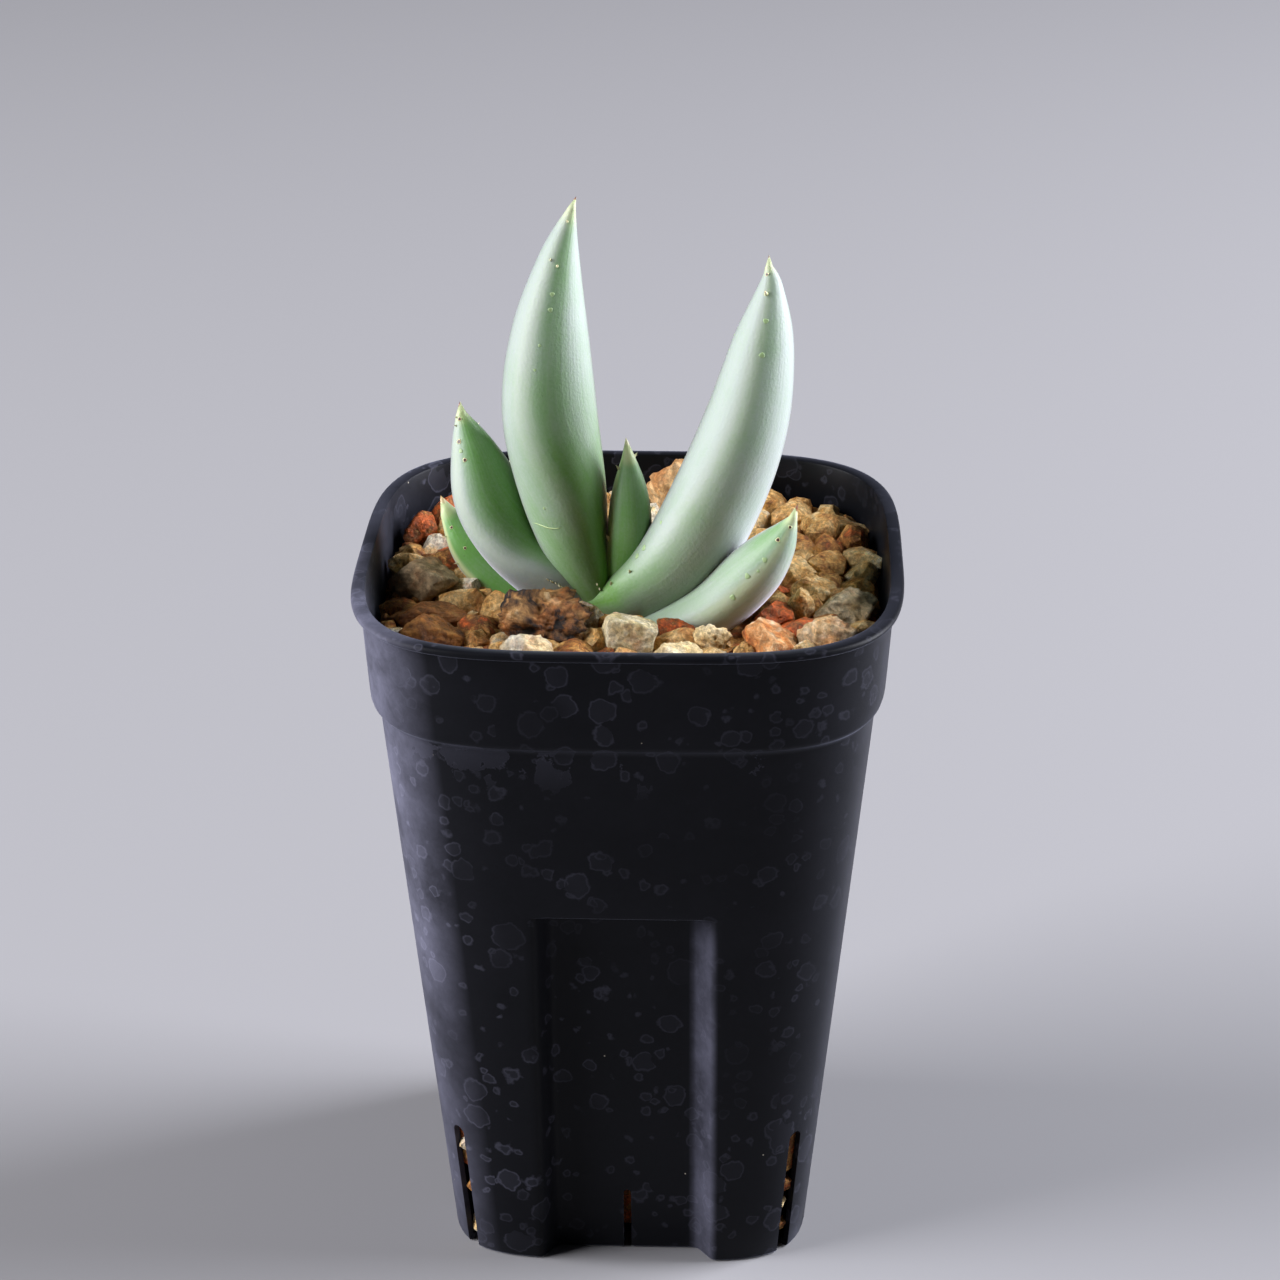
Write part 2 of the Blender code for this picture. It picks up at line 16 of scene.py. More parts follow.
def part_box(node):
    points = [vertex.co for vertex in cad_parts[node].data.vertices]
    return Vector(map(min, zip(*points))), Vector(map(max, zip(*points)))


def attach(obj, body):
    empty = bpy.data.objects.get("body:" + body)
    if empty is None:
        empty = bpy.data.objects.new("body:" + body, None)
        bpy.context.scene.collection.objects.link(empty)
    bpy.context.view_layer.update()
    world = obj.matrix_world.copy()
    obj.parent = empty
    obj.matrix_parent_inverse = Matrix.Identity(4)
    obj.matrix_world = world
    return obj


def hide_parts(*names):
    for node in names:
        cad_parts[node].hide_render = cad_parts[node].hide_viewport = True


bl_info = {
    "name": "Potted aloe",
    "version": (1, 0, 0),
    "blender": (4, 5, 0),
    "location": "View3D > Sidebar > Potted aloe",
    "description": "Leaves, grit, stones and nursery pot around the packed solids of a small aloe",
    "category": "Object",
}

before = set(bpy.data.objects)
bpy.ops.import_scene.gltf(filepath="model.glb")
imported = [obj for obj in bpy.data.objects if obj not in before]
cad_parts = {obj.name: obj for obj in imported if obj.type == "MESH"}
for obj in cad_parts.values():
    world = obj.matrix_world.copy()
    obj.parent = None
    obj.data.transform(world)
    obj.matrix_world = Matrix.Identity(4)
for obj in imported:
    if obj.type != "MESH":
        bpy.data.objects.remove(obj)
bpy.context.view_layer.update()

MM = 0.001

# Kinds of shader node
MATH = "ShaderNodeMath"
SPAN = "ShaderNodeMapRange"
MIX = "ShaderNodeMix"
NOISE = "ShaderNodeTexNoise"
CELLS = "ShaderNodeTexVoronoi"
PARTS = "ShaderNodeSeparateColor"
AXIS = "ShaderNodeSeparateXYZ"
PLACE = "ShaderNodeTexCoord"
PAINTED = "ShaderNodeAttribute"
RAMP = "ShaderNodeValToRGB"
BUMP = "ShaderNodeBump"

# Pot, as in the solids
RIM_WIDTH = 90.0 * MM
POT_HEIGHT = 120.5 * MM
LIP_OVERHANG = 1.4 * MM
LIP_HEIGHT = 1.3 * MM
COLLAR_HEIGHT = 17.4 * MM
COLLAR_FOOT_WIDTH = 84.9 * MM
STEP_HEIGHT = 1.3 * MM
BODY_TOP_WIDTH = 82.2 * MM
FOOT_WIDTH = 61.7 * MM
RIM_ROUNDNESS = 3.9
BODY_ROUNDNESS = 4.0
FOOT_ROUNDNESS = 4.85
CHANNEL_WIDTH = 30.5 * MM
PANEL_WIDTH = 22.6 * MM
CHANNEL_DEPTH = 4.0 * MM
CHANNEL_HEIGHT = 70.5 * MM
FLOOR_RISE = 1.5 * MM
FLOOR_THICKNESS = 1.2 * MM
FLOOR_RING = 20.5 * MM
FLOOR_ROUNDNESS = 6.0
CORNER_SLIT_HEIGHT = 25.3 * MM
CORNER_SLIT_REACH = 6.0 * MM
SIDE_SLIT_HEIGHT = 12.6 * MM
SIDE_SLIT_REACH = 5.0 * MM

STEP_TOP = POT_HEIGHT - COLLAR_HEIGHT
BODY_TOP = STEP_TOP - STEP_HEIGHT
LIP_FOOT = POT_HEIGHT - LIP_HEIGHT
COLLAR_TOP_HALF = RIM_WIDTH / 2 - LIP_OVERHANG
COLLAR_FOOT_HALF = COLLAR_FOOT_WIDTH / 2

# Pot, where it is finer than the solids or differs from them
CORNER_SLIT_WIDTH = 2.6 * MM
SIDE_SLIT_WIDTH = 1.3 * MM
CHANNEL_ROUND = 0.5 * MM
FOOT_ROUND = 0.6 * MM
SOFT_EDGE = 0.35 * MM
CORNER_STEPS = 16
CHANNEL_STEPS = 8
PANEL_STEPS = 10

# Dried droplets, large and small: cells to the metre, smallest and largest radius as a share of a cell,
# and the share of the cells that has none; then the width of the line round each
DROPLETS = ((180.0, 0.16, 0.48, 0.40), (380.0, 0.15, 0.42, 0.62))
DROPLET_LINE = 0.28 * MM

# Grit, as in the solids
BED_TOP = 111.0 * MM
BED_SLOPE = 0.045

# Pebbles: half sizes, large to small, how often each is tried, and how close they lie as a share of their
# half sizes together. Those in front of the strip's edge are seen from close by and have finer faces.
# Grains fill the spaces between them.
PEBBLE_SIZES = (3.6 * MM, 3.0 * MM, 2.5 * MM, 2.0 * MM, 1.6 * MM)
PEBBLE_TRIES = 1400
PEBBLE_SPACING = 0.72
FRONT_STRIP = -16.0 * MM
GRAIN_SIZE = 1.0 * MM
GRAIN_TRIES = 2600

# Pebbles that stand out beside the larger stones: place on the grit, half sizes in mm, tint from 0 dark
# brown over orange and tan to 1 cream, and turn in degrees
PLACED_PEBBLES = (
    ((7.4, -16.0, 112.2), (3.4, 2.6, 2.0), 0.08, 0),
    ((28.1, -24.5, 112.4), (2.2, 2.4, 2.0), 0.86, 20),
    ((23.7, -11.4, 112.8), (2.9, 3.0, 2.4), 0.06, 0),
    ((28.1, -8.4, 113.4), (2.0, 2.2, 3.2), 0.58, 30),
    ((29.9, -0.2, 113.0), (4.0, 3.4, 3.0), 0.60, 0),
    ((-30.1, -26.0, 110.9), (4.2, 2.6, 2.4), 0.0, -14),
    ((-24.4, -20.2, 111.4), (2.9, 3.0, 2.6), 0.52, 0),
    ((-37.0, 21.0, 114.0), (3.2, 3.4, 3.2), 0.10, 0),
    ((-3.2, -27.0, 110.8), (2.6, 2.4, 2.2), 0.50, 12),
    ((17.4, -28.0, 110.6), (3.0, 2.6, 2.2), 0.56, -20),
    ((19.2, -24.4, 111.6), (1.9, 2.1, 2.2), 0.60, 0),
)

# Pebbles that show through the corner slits: quarter turns from the front left corner, height and half
# size in mm, and tint
SLIT_PEBBLES = (
    (0, 21.5, 2.3, 0.95),
    (0, 12.0, 1.5, 0.30),
    (0, 3.6, 1.8, 0.90),
    (1, 13.6, 1.9, 0.22),
    (1, 9.6, 1.2, 0.85),
    (1, 5.0, 1.6, 0.30),
    (2, 16.0, 2.2, 0.60),
    (2, 6.0, 1.8, 0.35),
    (3, 18.0, 2.0, 0.70),
    (3, 8.0, 1.9, 0.50),
)
GRIT_SHADES = (
    (0.0, "#cc6226"),
    (0.10, "#a85a26"),
    (0.2, "#7c4a22"),
    (0.32, "#b57c3c"),
    (0.45, "#d09e56"),
    (0.65, "#e4ba78"),
    (0.85, "#f0d49c"),
    (1.0, "#f6ebd2"),
)

# Shades of each larger stone, from its dark pits to its palest crystals
STONE_SHADES = {
    "stone_brown": ("#0e0a08", "#281a10", "#80592f", "#b0854e", "#ccae80"),
    "stone_square": ("#6e4a1c", "#b08c40", "#c8b680", "#d8caa2", "#e6dec4"),
    "stone_cream_patch": ("#5a2f1a", "#9c6c40", "#e0c896", "#efdcb4", "#f8efd8"),
    "stone_cream_front": ("#8a5c2a", "#c9a264", "#e4ca92", "#f0dcae", "#f8edd0"),
    "stone_knobbly": ("#80562a", "#c0985a", "#dcbe84", "#ead2a0", "#f4e6c4"),
    "stone_orange": ("#6e3314", "#b4642a", "#d28e4e", "#e2b480", "#f2dcbc"),
    "stone_granular": ("#5c3a20", "#a67844", "#cca066", "#dfbf90", "#eed8b4"),
    "stone_oval": ("#6a5230", "#a88a56", "#cbb080", "#dcc69c", "#ead9b8"),
    "stone_grey": ("#5a4630", "#92775a", "#ab8f68", "#c0a680", "#d6c29c"),
    "stone_long": ("#3a2010", "#74441e", "#94602e", "#b08044", "#caa068"),
    "stone_tan": ("#3e220c", "#784818", "#966428", "#b08444", "#cca468"),
    "stone_back": ("#6a4122", "#b07c44", "#cfa26c", "#e0bc8a", "#eed8b4"),
}

# The larger stones: node, piece name, grain size, how light it is, how far its patches stray from that,
# seed, number of flats, crispness of its edges, roughness of its surface, how square it is, and how far it
# reaches past its solid in mm to the left, right, top and front
STONES = (
    ("stone_brown", "brown_stone", 1.5, 0.42, 0.55, 3, 10, 9.0, 0.17, 0.0, (-0.3, -0.2, 2.2, 2.0)),
    ("stone_square", "square_stone", 1.0, 0.70, 0.28, 5, 5, 34.0, 0.035, 1.0, (0.2, 0.2, 0.3, 0.0)),
    ("stone_cream_patch", "cream_patched_stone", 1.6, 0.66, 0.45, 8, 8, 14.0, 0.07, 0.0, (0.0, -1.2, 0.9, 0)),
    ("stone_cream_front", "cream_stone", 1.3, 0.62, 0.30, 4, 7, 16.0, 0.08, 0.0, (0.2, 0.2, 0.4, 0.0)),
    ("stone_knobbly", "knobbly_stone", 1.1, 0.66, 0.30, 2, 7, 14.0, 0.11, 0.0, (0.1, 0.1, 0.2, 0.0)),
    ("stone_orange", "orange_stone", 1.6, 0.58, 0.50, 9, 7, 20.0, 0.06, 0.0, (0.2, 0.2, 0.6, 0.0)),
    ("stone_granular", "granular_stone", 0.9, 0.68, 0.34, 6, 8, 14.0, 0.10, 0.0, (0.2, 0.6, 0.5, 0.0)),
    ("stone_oval", "oval_stone", 1.1, 0.74, 0.28, 1, 8, 12.0, 0.06, 0.0, (0.2, 0.2, 0.4, 0.0)),
    ("stone_grey", "grey_tan_stone", 1.5, 0.62, 0.28, 12, 7, 20.0, 0.045, 0.0, (0.2, 0.2, 0.3, 0.0)),
    ("stone_long", "long_brown_stone", 1.2, 0.48, 0.30, 11, 7, 18.0, 0.06, 0.0, (0.2, 0.2, 0.3, 0.0)),
    ("stone_tan", "tan_stone", 1.2, 0.38, 0.30, 10, 6, 20.0, 0.05, 0.0, (0.3, 0.3, 1.0, 0.0)),
    ("stone_back", "back_stone", 1.3, 0.54, 0.30, 13, 8, 14.0, 0.07, 0.0, (0.0, 0.4, 1.9, 0.0)),
)

# Plant: the middle of its crown, as in the solids; how keen a leaf's margins are, a little less than in the
# solids, where 1 is an ellipse; and the fineness of its skin
CROWN = Vector((-4.4 * MM, 0.0, 0.0))
MARGIN_KEENNESS = 1.05
LEAF_SIDES = 64
LEAF_RINGS = 72

# Each leaf: the heading of its upright plane in degrees, anticlockwise from +X seen from above, then its
# stations in mm and degrees: reach from the crown, height, half thickness, half width, and how far its
# near margin turns towards the upper face; then the reach and height of the spine's tip.
LEAVES = {
    "leaf_centre": (
        -10,
        (
            (2.4, 111.2, 1.9, 2.6, 50),
            (3.4, 117.0, 2.9, 3.4, 50),
            (4.2, 123.5, 3.6, 3.8, 50),
            (4.3, 130.5, 2.9, 3.0, 55),
            (4.1, 136.6, 1.1, 1.1, 60),
        ),
        (3.7, 140.0),
    ),
    "leaf_tall_left": (
        170,
        (
            (1.8, 109.0, 2.4, 4.6, 60),
            (4.4, 117.5, 4.9, 6.2, 45),
            (7.0, 130.0, 7.2, 8.0, 15),
            (9.1, 143.5, 7.6, 8.6, -15),
            (8.9, 157.0, 6.2, 7.0, -18),
            (7.1, 170.0, 3.3, 3.7, -12),
            (5.0, 178.2, 0.7, 0.7, 0),
        ),
        (4.2, 180.4),
    ),
    "leaf_tall_right": (
        -12,
        (
            (-0.5, 108.2, 3.0, 5.6, 55),
            (6.2, 111.4, 5.2, 7.6, 50),
            (13.2, 119.3, 6.9, 8.4, 35),
            (19.3, 131.5, 7.4, 8.6, 18),
            (24.0, 145.0, 6.8, 7.8, 4),
            (26.6, 158.5, 4.9, 5.4, 0),
            (27.6, 167.5, 2.1, 2.2, 0),
            (27.3, 171.0, 0.6, 0.6, 0),
        ),
        (27.3, 173.0),
    ),
    "leaf_medium_left": (
        166,
        (
            (4.2, 107.6, 2.4, 5.0, 50),
            (9.6, 112.6, 4.4, 7.2, 40),
            (15.6, 119.0, 5.2, 7.4, 5),
            (20.2, 127.5, 5.3, 6.6, -25),
            (22.9, 135.6, 3.6, 3.8, -30),
            (24.7, 141.4, 0.9, 0.9, -30),
        ),
        (24.8, 143.6),
    ),
    "leaf_small_left": (
        162,
        (
            (4.6, 104.6, 1.8, 4.0, 20),
            (11.0, 107.6, 2.8, 5.6, 10),
            (18.0, 111.6, 3.4, 5.4, -10),
            (24.2, 117.3, 3.0, 4.0, -30),
            (28.4, 122.8, 1.2, 1.4, -30),
        ),
        (29.5, 125.5),
    ),
    "leaf_small_right": (
        -24,
        (
            (4.6, 104.8, 2.2, 4.6, 20),
            (11.5, 107.8, 3.8, 7.0, 10),
            (20.4, 113.4, 4.6, 7.2, 0),
            (27.2, 120.8, 4.7, 6.0, -12),
            (31.4, 126.4, 3.1, 3.8, -20),
            (34.0, 131.2, 0.8, 0.8, -20),
        ),
        (34.8, 134.0),
    ),
}

# Teeth: half their width at the root, their length, how deep they are rooted, the half width of a leaf
# whose teeth are full-sized, and how many times stouter and more upright those of some leaves are
TOOTH_RADIUS = 0.45 * MM
TOOTH_LENGTH = 1.2 * MM
TOOTH_ROOT = 0.35 * MM
TOOTH_FULL_WIDTH = 6.0 * MM
STOUT_TEETH = {"leaf_centre": (2.0, 2.2)}

# Places of the teeth on the near and the far margin of each leaf, from 0 at the base to 1 at the neck
TEETH = {
    "leaf_centre": ((0.46, 0.90), (0.60, 0.985)),
    "leaf_tall_left": ((0.06, 0.84, 0.95), (0.15, 0.38, 0.58, 0.78, 0.93)),
    "leaf_tall_right": ((0.13, 0.22, 0.94), (0.25, 0.45, 0.66, 0.85)),
    "leaf_medium_left": ((0.93, 0.98), (0.40, 0.66, 0.88)),
    "leaf_small_left": ((0.55, 0.72, 0.86), (0.60, 0.82)),
    "leaf_small_right": ((), (0.50, 0.70, 0.88)),
}

# How far towards red-brown each end spine is at its point, and how far its root is sunk in the leaf
SPINE_SHADE = {
    "leaf_centre": 0.32,
    "leaf_tall_left": 1.0,
    "leaf_tall_right": 1.0,
    "leaf_medium_left": 1.0,
    "leaf_small_left": 0.6,
    "leaf_small_right": 1.0,
}
SPINE_ROOT = 0.6 * MM

# What marks each leaf's skin: kind, place along the leaf, degrees from its near margin round its outer
# face, and radius in mm. A ring is a dark corky spot, a wart a yellow-green one, a thorn a small tooth.
MARKS = {
    "leaf_centre": (("wart", 0.30, 345, 0.30), ("wart", 0.72, 350, 0.25)),
    "leaf_tall_left": (
        ("thorn", 0.95, 351, 0.25),
        ("thorn", 0.83, 336, 0.28),
        ("wart", 0.77, 333, 0.35),
        ("wart", 0.74, 331, 0.35),
        ("wart", 0.67, 339, 0.25),
        ("wart", 0.62, 342, 0.22),
        ("wart", 0.33, 30, 0.25),
    ),
    "leaf_tall_right": (
        ("ring", 0.94, 342, 0.30),
        ("thorn", 0.85, 354, 0.42),
        ("wart", 0.78, 8, 0.40),
        ("wart", 0.71, 12, 0.42),
        ("wart", 0.72, 285, 0.20),
        ("wart", 0.69, 290, 0.18),
        ("wart", 0.29, 340, 0.50),
        ("wart", 0.26, 342, 0.45),
        ("wart", 0.36, 335, 0.30),
    ),
    "leaf_medium_left": (
        ("ring", 0.97, 330, 0.35),
        ("ring", 0.86, 342, 0.42),
        ("ring", 0.78, 330, 0.36),
        ("wart", 0.82, 338, 0.35),
    ),
    "leaf_small_left": (
        ("ring", 0.89, 315, 0.28),
        ("ring", 0.76, 309, 0.28),
        ("wart", 0.50, 300, 0.35),
    ),
    "leaf_small_right": (
        ("ring", 0.955, 2, 0.30),
        ("ring", 0.87, 336, 0.38),
        ("wart", 0.76, 342, 0.40),
        ("wart", 0.65, 342, 0.45),
        ("wart", 0.55, 357, 0.45),
        ("wart", 0.70, 350, 0.25),
    ),
}

# A healed scratch: its leaf, then the place and the degrees of each end
SCRATCH = ("leaf_tall_left", (0.290, 68), (0.282, 22))

# Where a torn, papery edge is left at a leaf's base: leaf, degrees round it, first and last place along it
PAPERY_EDGES = (
    ("leaf_medium_left", 12, 0.13, 0.23),
    ("leaf_tall_left", 20, 0.02, 0.12),
    ("leaf_centre", 0, 0.02, 0.10),
)

# How yellow the margins of each leaf are
EDGE_YELLOW = {
    "leaf_centre": 0.9,
    "leaf_tall_left": 0.10,
    "leaf_tall_right": 0.10,
    "leaf_medium_left": 0.12,
    "leaf_small_left": 0.9,
    "leaf_small_right": 0.4,
}

# How much waxy bloom covers each leaf: at the base and the tip of its outer face, at the base and the tip
# of its inner face, and the places between which it changes
BLOOM = {
    "leaf_centre": (0.08, 0.30, 0.00, 0.20, 0.3, 1.0),
    "leaf_tall_left": (0.10, 1.00, -0.40, 0.90, 0.00, 0.70),
    "leaf_tall_right": (0.30, 1.00, 0.00, 1.00, 0.02, 0.40),
    "leaf_medium_left": (1.00, 1.00, 0.00, 0.12, 0.05, 0.80),
    "leaf_small_left": (0.25, 0.60, 0.00, 0.05, 0.2, 0.9),
    "leaf_small_right": (0.90, 0.70, 0.70, 0.30, 0.5, 0.95),
}

# How far the bloom of a leaf's outer face comes round the margin onto its inner face. On these leaves it is
# partly real bloom and partly painted light, which widens the pale strip where the left lamp falls
BLOOM_EDGE_AND_PAINTED_LIGHT = {"leaf_medium_left": -0.5, "leaf_small_right": -0.3}

# Painted shade: a stripe up the leaf where the bloom is thinned, so that the skin shows greener and darker
# along the band beside the near margin that neither lamp reaches: degrees from the near margin round the
# outer face, and how bare it is at the base and at the tip
PAINTED_SHADE_STRIPE = {"leaf_tall_left": (-36, 0.85, 0.50), "leaf_tall_right": (20, 0.60, 0.30)}

# The photograph's camera: where it stands, the way it looks, its level line, its roll in degrees, and its
# lens and sensor in mm
CAMERA_PLACE = Vector((0.02197, -0.52198, 0.33635))
CAMERA_AIM = Vector((-0.03593, 0.91260, -0.40728))
CAMERA_LEVEL = Vector((0.99923, 0.03935, 0.0))
CAMERA_ROLL = 0.196
CAMERA_LENS = 95.6
CAMERA_SENSOR = 36.0


def linear(hex_colour):
    """The linear RGBA value of an sRGB hex colour."""
    channels = [int(hex_colour[i : i + 2], 16) / 255 for i in (1, 3, 5)]
    return [c / 12.92 if c <= 0.04045 else ((c + 0.055) / 1.055) ** 2.4 for c in channels] + [1.0]


def smooth_step(low, high, value):
    share = min(max((value - low) / (high - low), 0.0), 1.0)
    return share * share * (3 - 2 * share)


def set_inputs(node, inputs):
    """Gives a node's inputs values or links. They are named, or listed in the order of its sockets."""
    if not isinstance(inputs, dict):
        inputs = {socket.identifier: value for socket, value in zip(node.inputs, inputs)}
    for name, value in inputs.items():
        socket = next(s for s in node.inputs if name in (s.identifier, s.name))
        if isinstance(value, bpy.types.NodeSocket):
            node.id_data.links.new(value, socket)
        else:
            socket.default_value = value


def add_node(tree, kind, inputs=(), output=0, stops=(), **settings):
    """Adds a node with its settings, its links and the stops of its ramp, and returns one of its outputs."""
    node = tree.nodes.new(kind)
    for name, value in settings.items():
        setattr(node, name, value)
    if stops:
        ramp = node.color_ramp
        while len(ramp.elements) < len(stops):
            ramp.elements.new(1.0)
        for element, (place, shade) in zip(ramp.elements, stops):
            element.position = place
            element.color = linear(shade)
    set_inputs(node, inputs)
    if isinstance(output, int):
        return node.outputs[output]
    return next(s for s in node.outputs if output in (s.identifier, s.name))


def new_material(name):
    """A material, the function that adds a node to it, and its shader."""
    made = bpy.data.materials.new(name)
    made.use_nodes = True
    return made, partial(add_node, made.node_tree), made.node_tree.nodes["Principled BSDF"]


def add_object(name, bm, materials=()):
    """Makes the mesh an object in the scene."""
    mesh = bpy.data.meshes.new(name)
    bm.to_mesh(mesh)
    bm.free()
    for material in materials:
        mesh.materials.append(material)
    made = bpy.data.objects.new(name, mesh)
    bpy.context.scene.collection.objects.link(made)
    return made


def finish_piece(name, bm, materials, nodes, sharp=None):
    """Makes the mesh an object that rides on the part, in place of these nodes."""
    made = add_object(name, bm, materials)
    made.data.shade_smooth()
    if sharp is not None:
        made.data.set_sharp_from_angle(angle=math.radians(sharp))
    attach(made, "root")
    if nodes:
        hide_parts(*nodes)
    return made


def grow_ring(bm, ring, points):
    """Extrudes a closed ring of vertices to these points, and returns the new ring."""
    edges = [bm.edges.get((a, b)) for a, b in zip(ring, ring[1:] + ring[:1])]
    made = bmesh.ops.extrude_edge_only(bm, edges=edges)["geom"]
    fresh = {part for part in made if isinstance(part, bmesh.types.BMVert)}
    moved = []
    for vertex in ring:
        moved.append(next(e.other_vert(vertex) for e in vertex.link_edges if e.other_vert(vertex) in fresh))
    for vertex, point in zip(moved, points):
        vertex.co = point
    return moved


def loft(bm, rings):
    """Grows a tube through rings of points, capped at its start, and returns its rings of vertices."""
    made = bmesh.ops.create_circle(bm, cap_ends=True, segments=len(rings[0]), radius=1.0)
    grown = [list(made["verts"])]
    for vertex, point in zip(grown[0], rings[0]):
        vertex.co = point
    for points in rings[1:]:
        grown.append(grow_ring(bm, grown[-1], points))
    return grown


def close_cone(bm, ring, point):
    """Closes a tube with a cone to a point, and returns the point's vertex."""
    tip = bmesh.ops.create_vert(bm, co=point)["vert"][0]
    for a, b in zip(ring, ring[1:] + ring[:1]):
        bm.faces.new((a, b, tip))
    return tip


def oval(middle, first_axis, second_axis, sides):
    """Points round an oval with these half axes."""
    turns = [2 * math.pi * i / sides for i in range(sides)]
    return [middle + first_axis * math.cos(turn) + second_axis * math.sin(turn) for turn in turns]


def specks(node, place, cells, empty, radius, strength):
    """Where small dots lie: cells to the metre, the share of them that is empty, and the dots' radius as a
    share of a cell, both as a soft span, and how strong a dot is."""
    spots = {"Vector": place, "Scale": cells}
    distance = node(CELLS, spots, "Distance")
    pick = node(PARTS, (node(CELLS, spots, "Color"),), "Red")
    chosen = node(SPAN, (pick, *empty))
    dot = node(SPAN, (distance, *radius, strength, 0.0))
    return node(MATH, (chosen, dot), operation="MULTIPLY")


# Pot


def outline(half, roundness, channel=0.0):
    """A square with round corners, with a channel this deep in the middle of each side."""
    edge = CHANNEL_WIDTH / 2
    panel = PANEL_WIDTH / 2

    def out(along):
        return (half**roundness - abs(along) ** roundness) ** (1 / roundness)

    edge_angle = math.atan2(edge, out(edge))
    side = []
    for step in range(CORNER_STEPS):
        angle = math.pi / 4 + (edge_angle - math.pi / 4) * step / CORNER_STEPS
        size = abs(math.cos(angle)) ** roundness + abs(math.sin(angle)) ** roundness
        radius = half / size ** (1 / roundness)
        side.append((-radius * math.sin(angle), radius * math.cos(angle)))
    for step in range(CHANNEL_STEPS):
        share = step / CHANNEL_STEPS
        along = edge + (panel - edge) * share
        side.append((-along, out(along) - channel * smooth_step(0.0, 1.0, share)))
    for step in range(PANEL_STEPS + 1):
        along = panel * (2 * step / PANEL_STEPS - 1)
        side.append((along, out(along) - channel))
    mirrored = [(-along, reach) for along, reach in side[: CORNER_STEPS + CHANNEL_STEPS]]
    side += mirrored[:0:-1]
    points = []
    for turn in range(4):
        spin = Matrix.Rotation(turn * math.pi / 2, 2)
        points += [spin @ Vector((along, -reach)) for along, reach in side]
    return points


def level_ring(z, half, roundness, channel=0.0):
    return [Vector((p.x, p.y, z)) for p in outline(half, roundness, channel)]


def body_half(z):
    return (FOOT_WIDTH + (BODY_TOP_WIDTH - FOOT_WIDTH) * z / BODY_TOP) / 2


def body_roundness(z):
    return FOOT_ROUNDNESS + (BODY_ROUNDNESS - FOOT_ROUNDNESS) * min(z / BODY_TOP, 1.0)


def body_rings(low, high, steps, channel, inset=0.0):
    """Rings up the tapered body, from height low to height high."""
    heights = [low + (high - low) * step / steps for step in range(steps + 1)]
    return [level_ring(z, body_half(z) - inset, body_roundness(z), channel) for z in heights]


def collar_ring(share, inset=0.0):
    """A ring of the collar, from 0 at its foot to 1 under the lip."""
    z = STEP_TOP + (LIP_FOOT - STEP_TOP) * share
    half = COLLAR_FOOT_HALF + (COLLAR_TOP_HALF - COLLAR_FOOT_HALF) * share
    return level_ring(z, half - inset, BODY_ROUNDNESS + (RIM_ROUNDNESS - BODY_ROUNDNESS) * share)


def channel_top_rings():
    """Rings that ease the channels' panels into their slanted tops and those into the body."""
    rings = []
    for turn in range(1, 5):
        angle = turn * math.pi / 8
        z = CHANNEL_HEIGHT - CHANNEL_ROUND * (1 - math.sin(angle))
        depth = CHANNEL_DEPTH - CHANNEL_ROUND * (1 - math.cos(angle))
        rings.append(level_ring(z, body_half(z), body_roundness(z), depth))
    for turn in range(5):
        angle = turn * math.pi / 8
        z = CHANNEL_HEIGHT + CHANNEL_ROUND * (1 - math.cos(angle))
        depth = CHANNEL_ROUND * (1 - math.sin(angle))
        rings.append(level_ring(z, body_half(z), body_roundness(z), depth))
    return rings


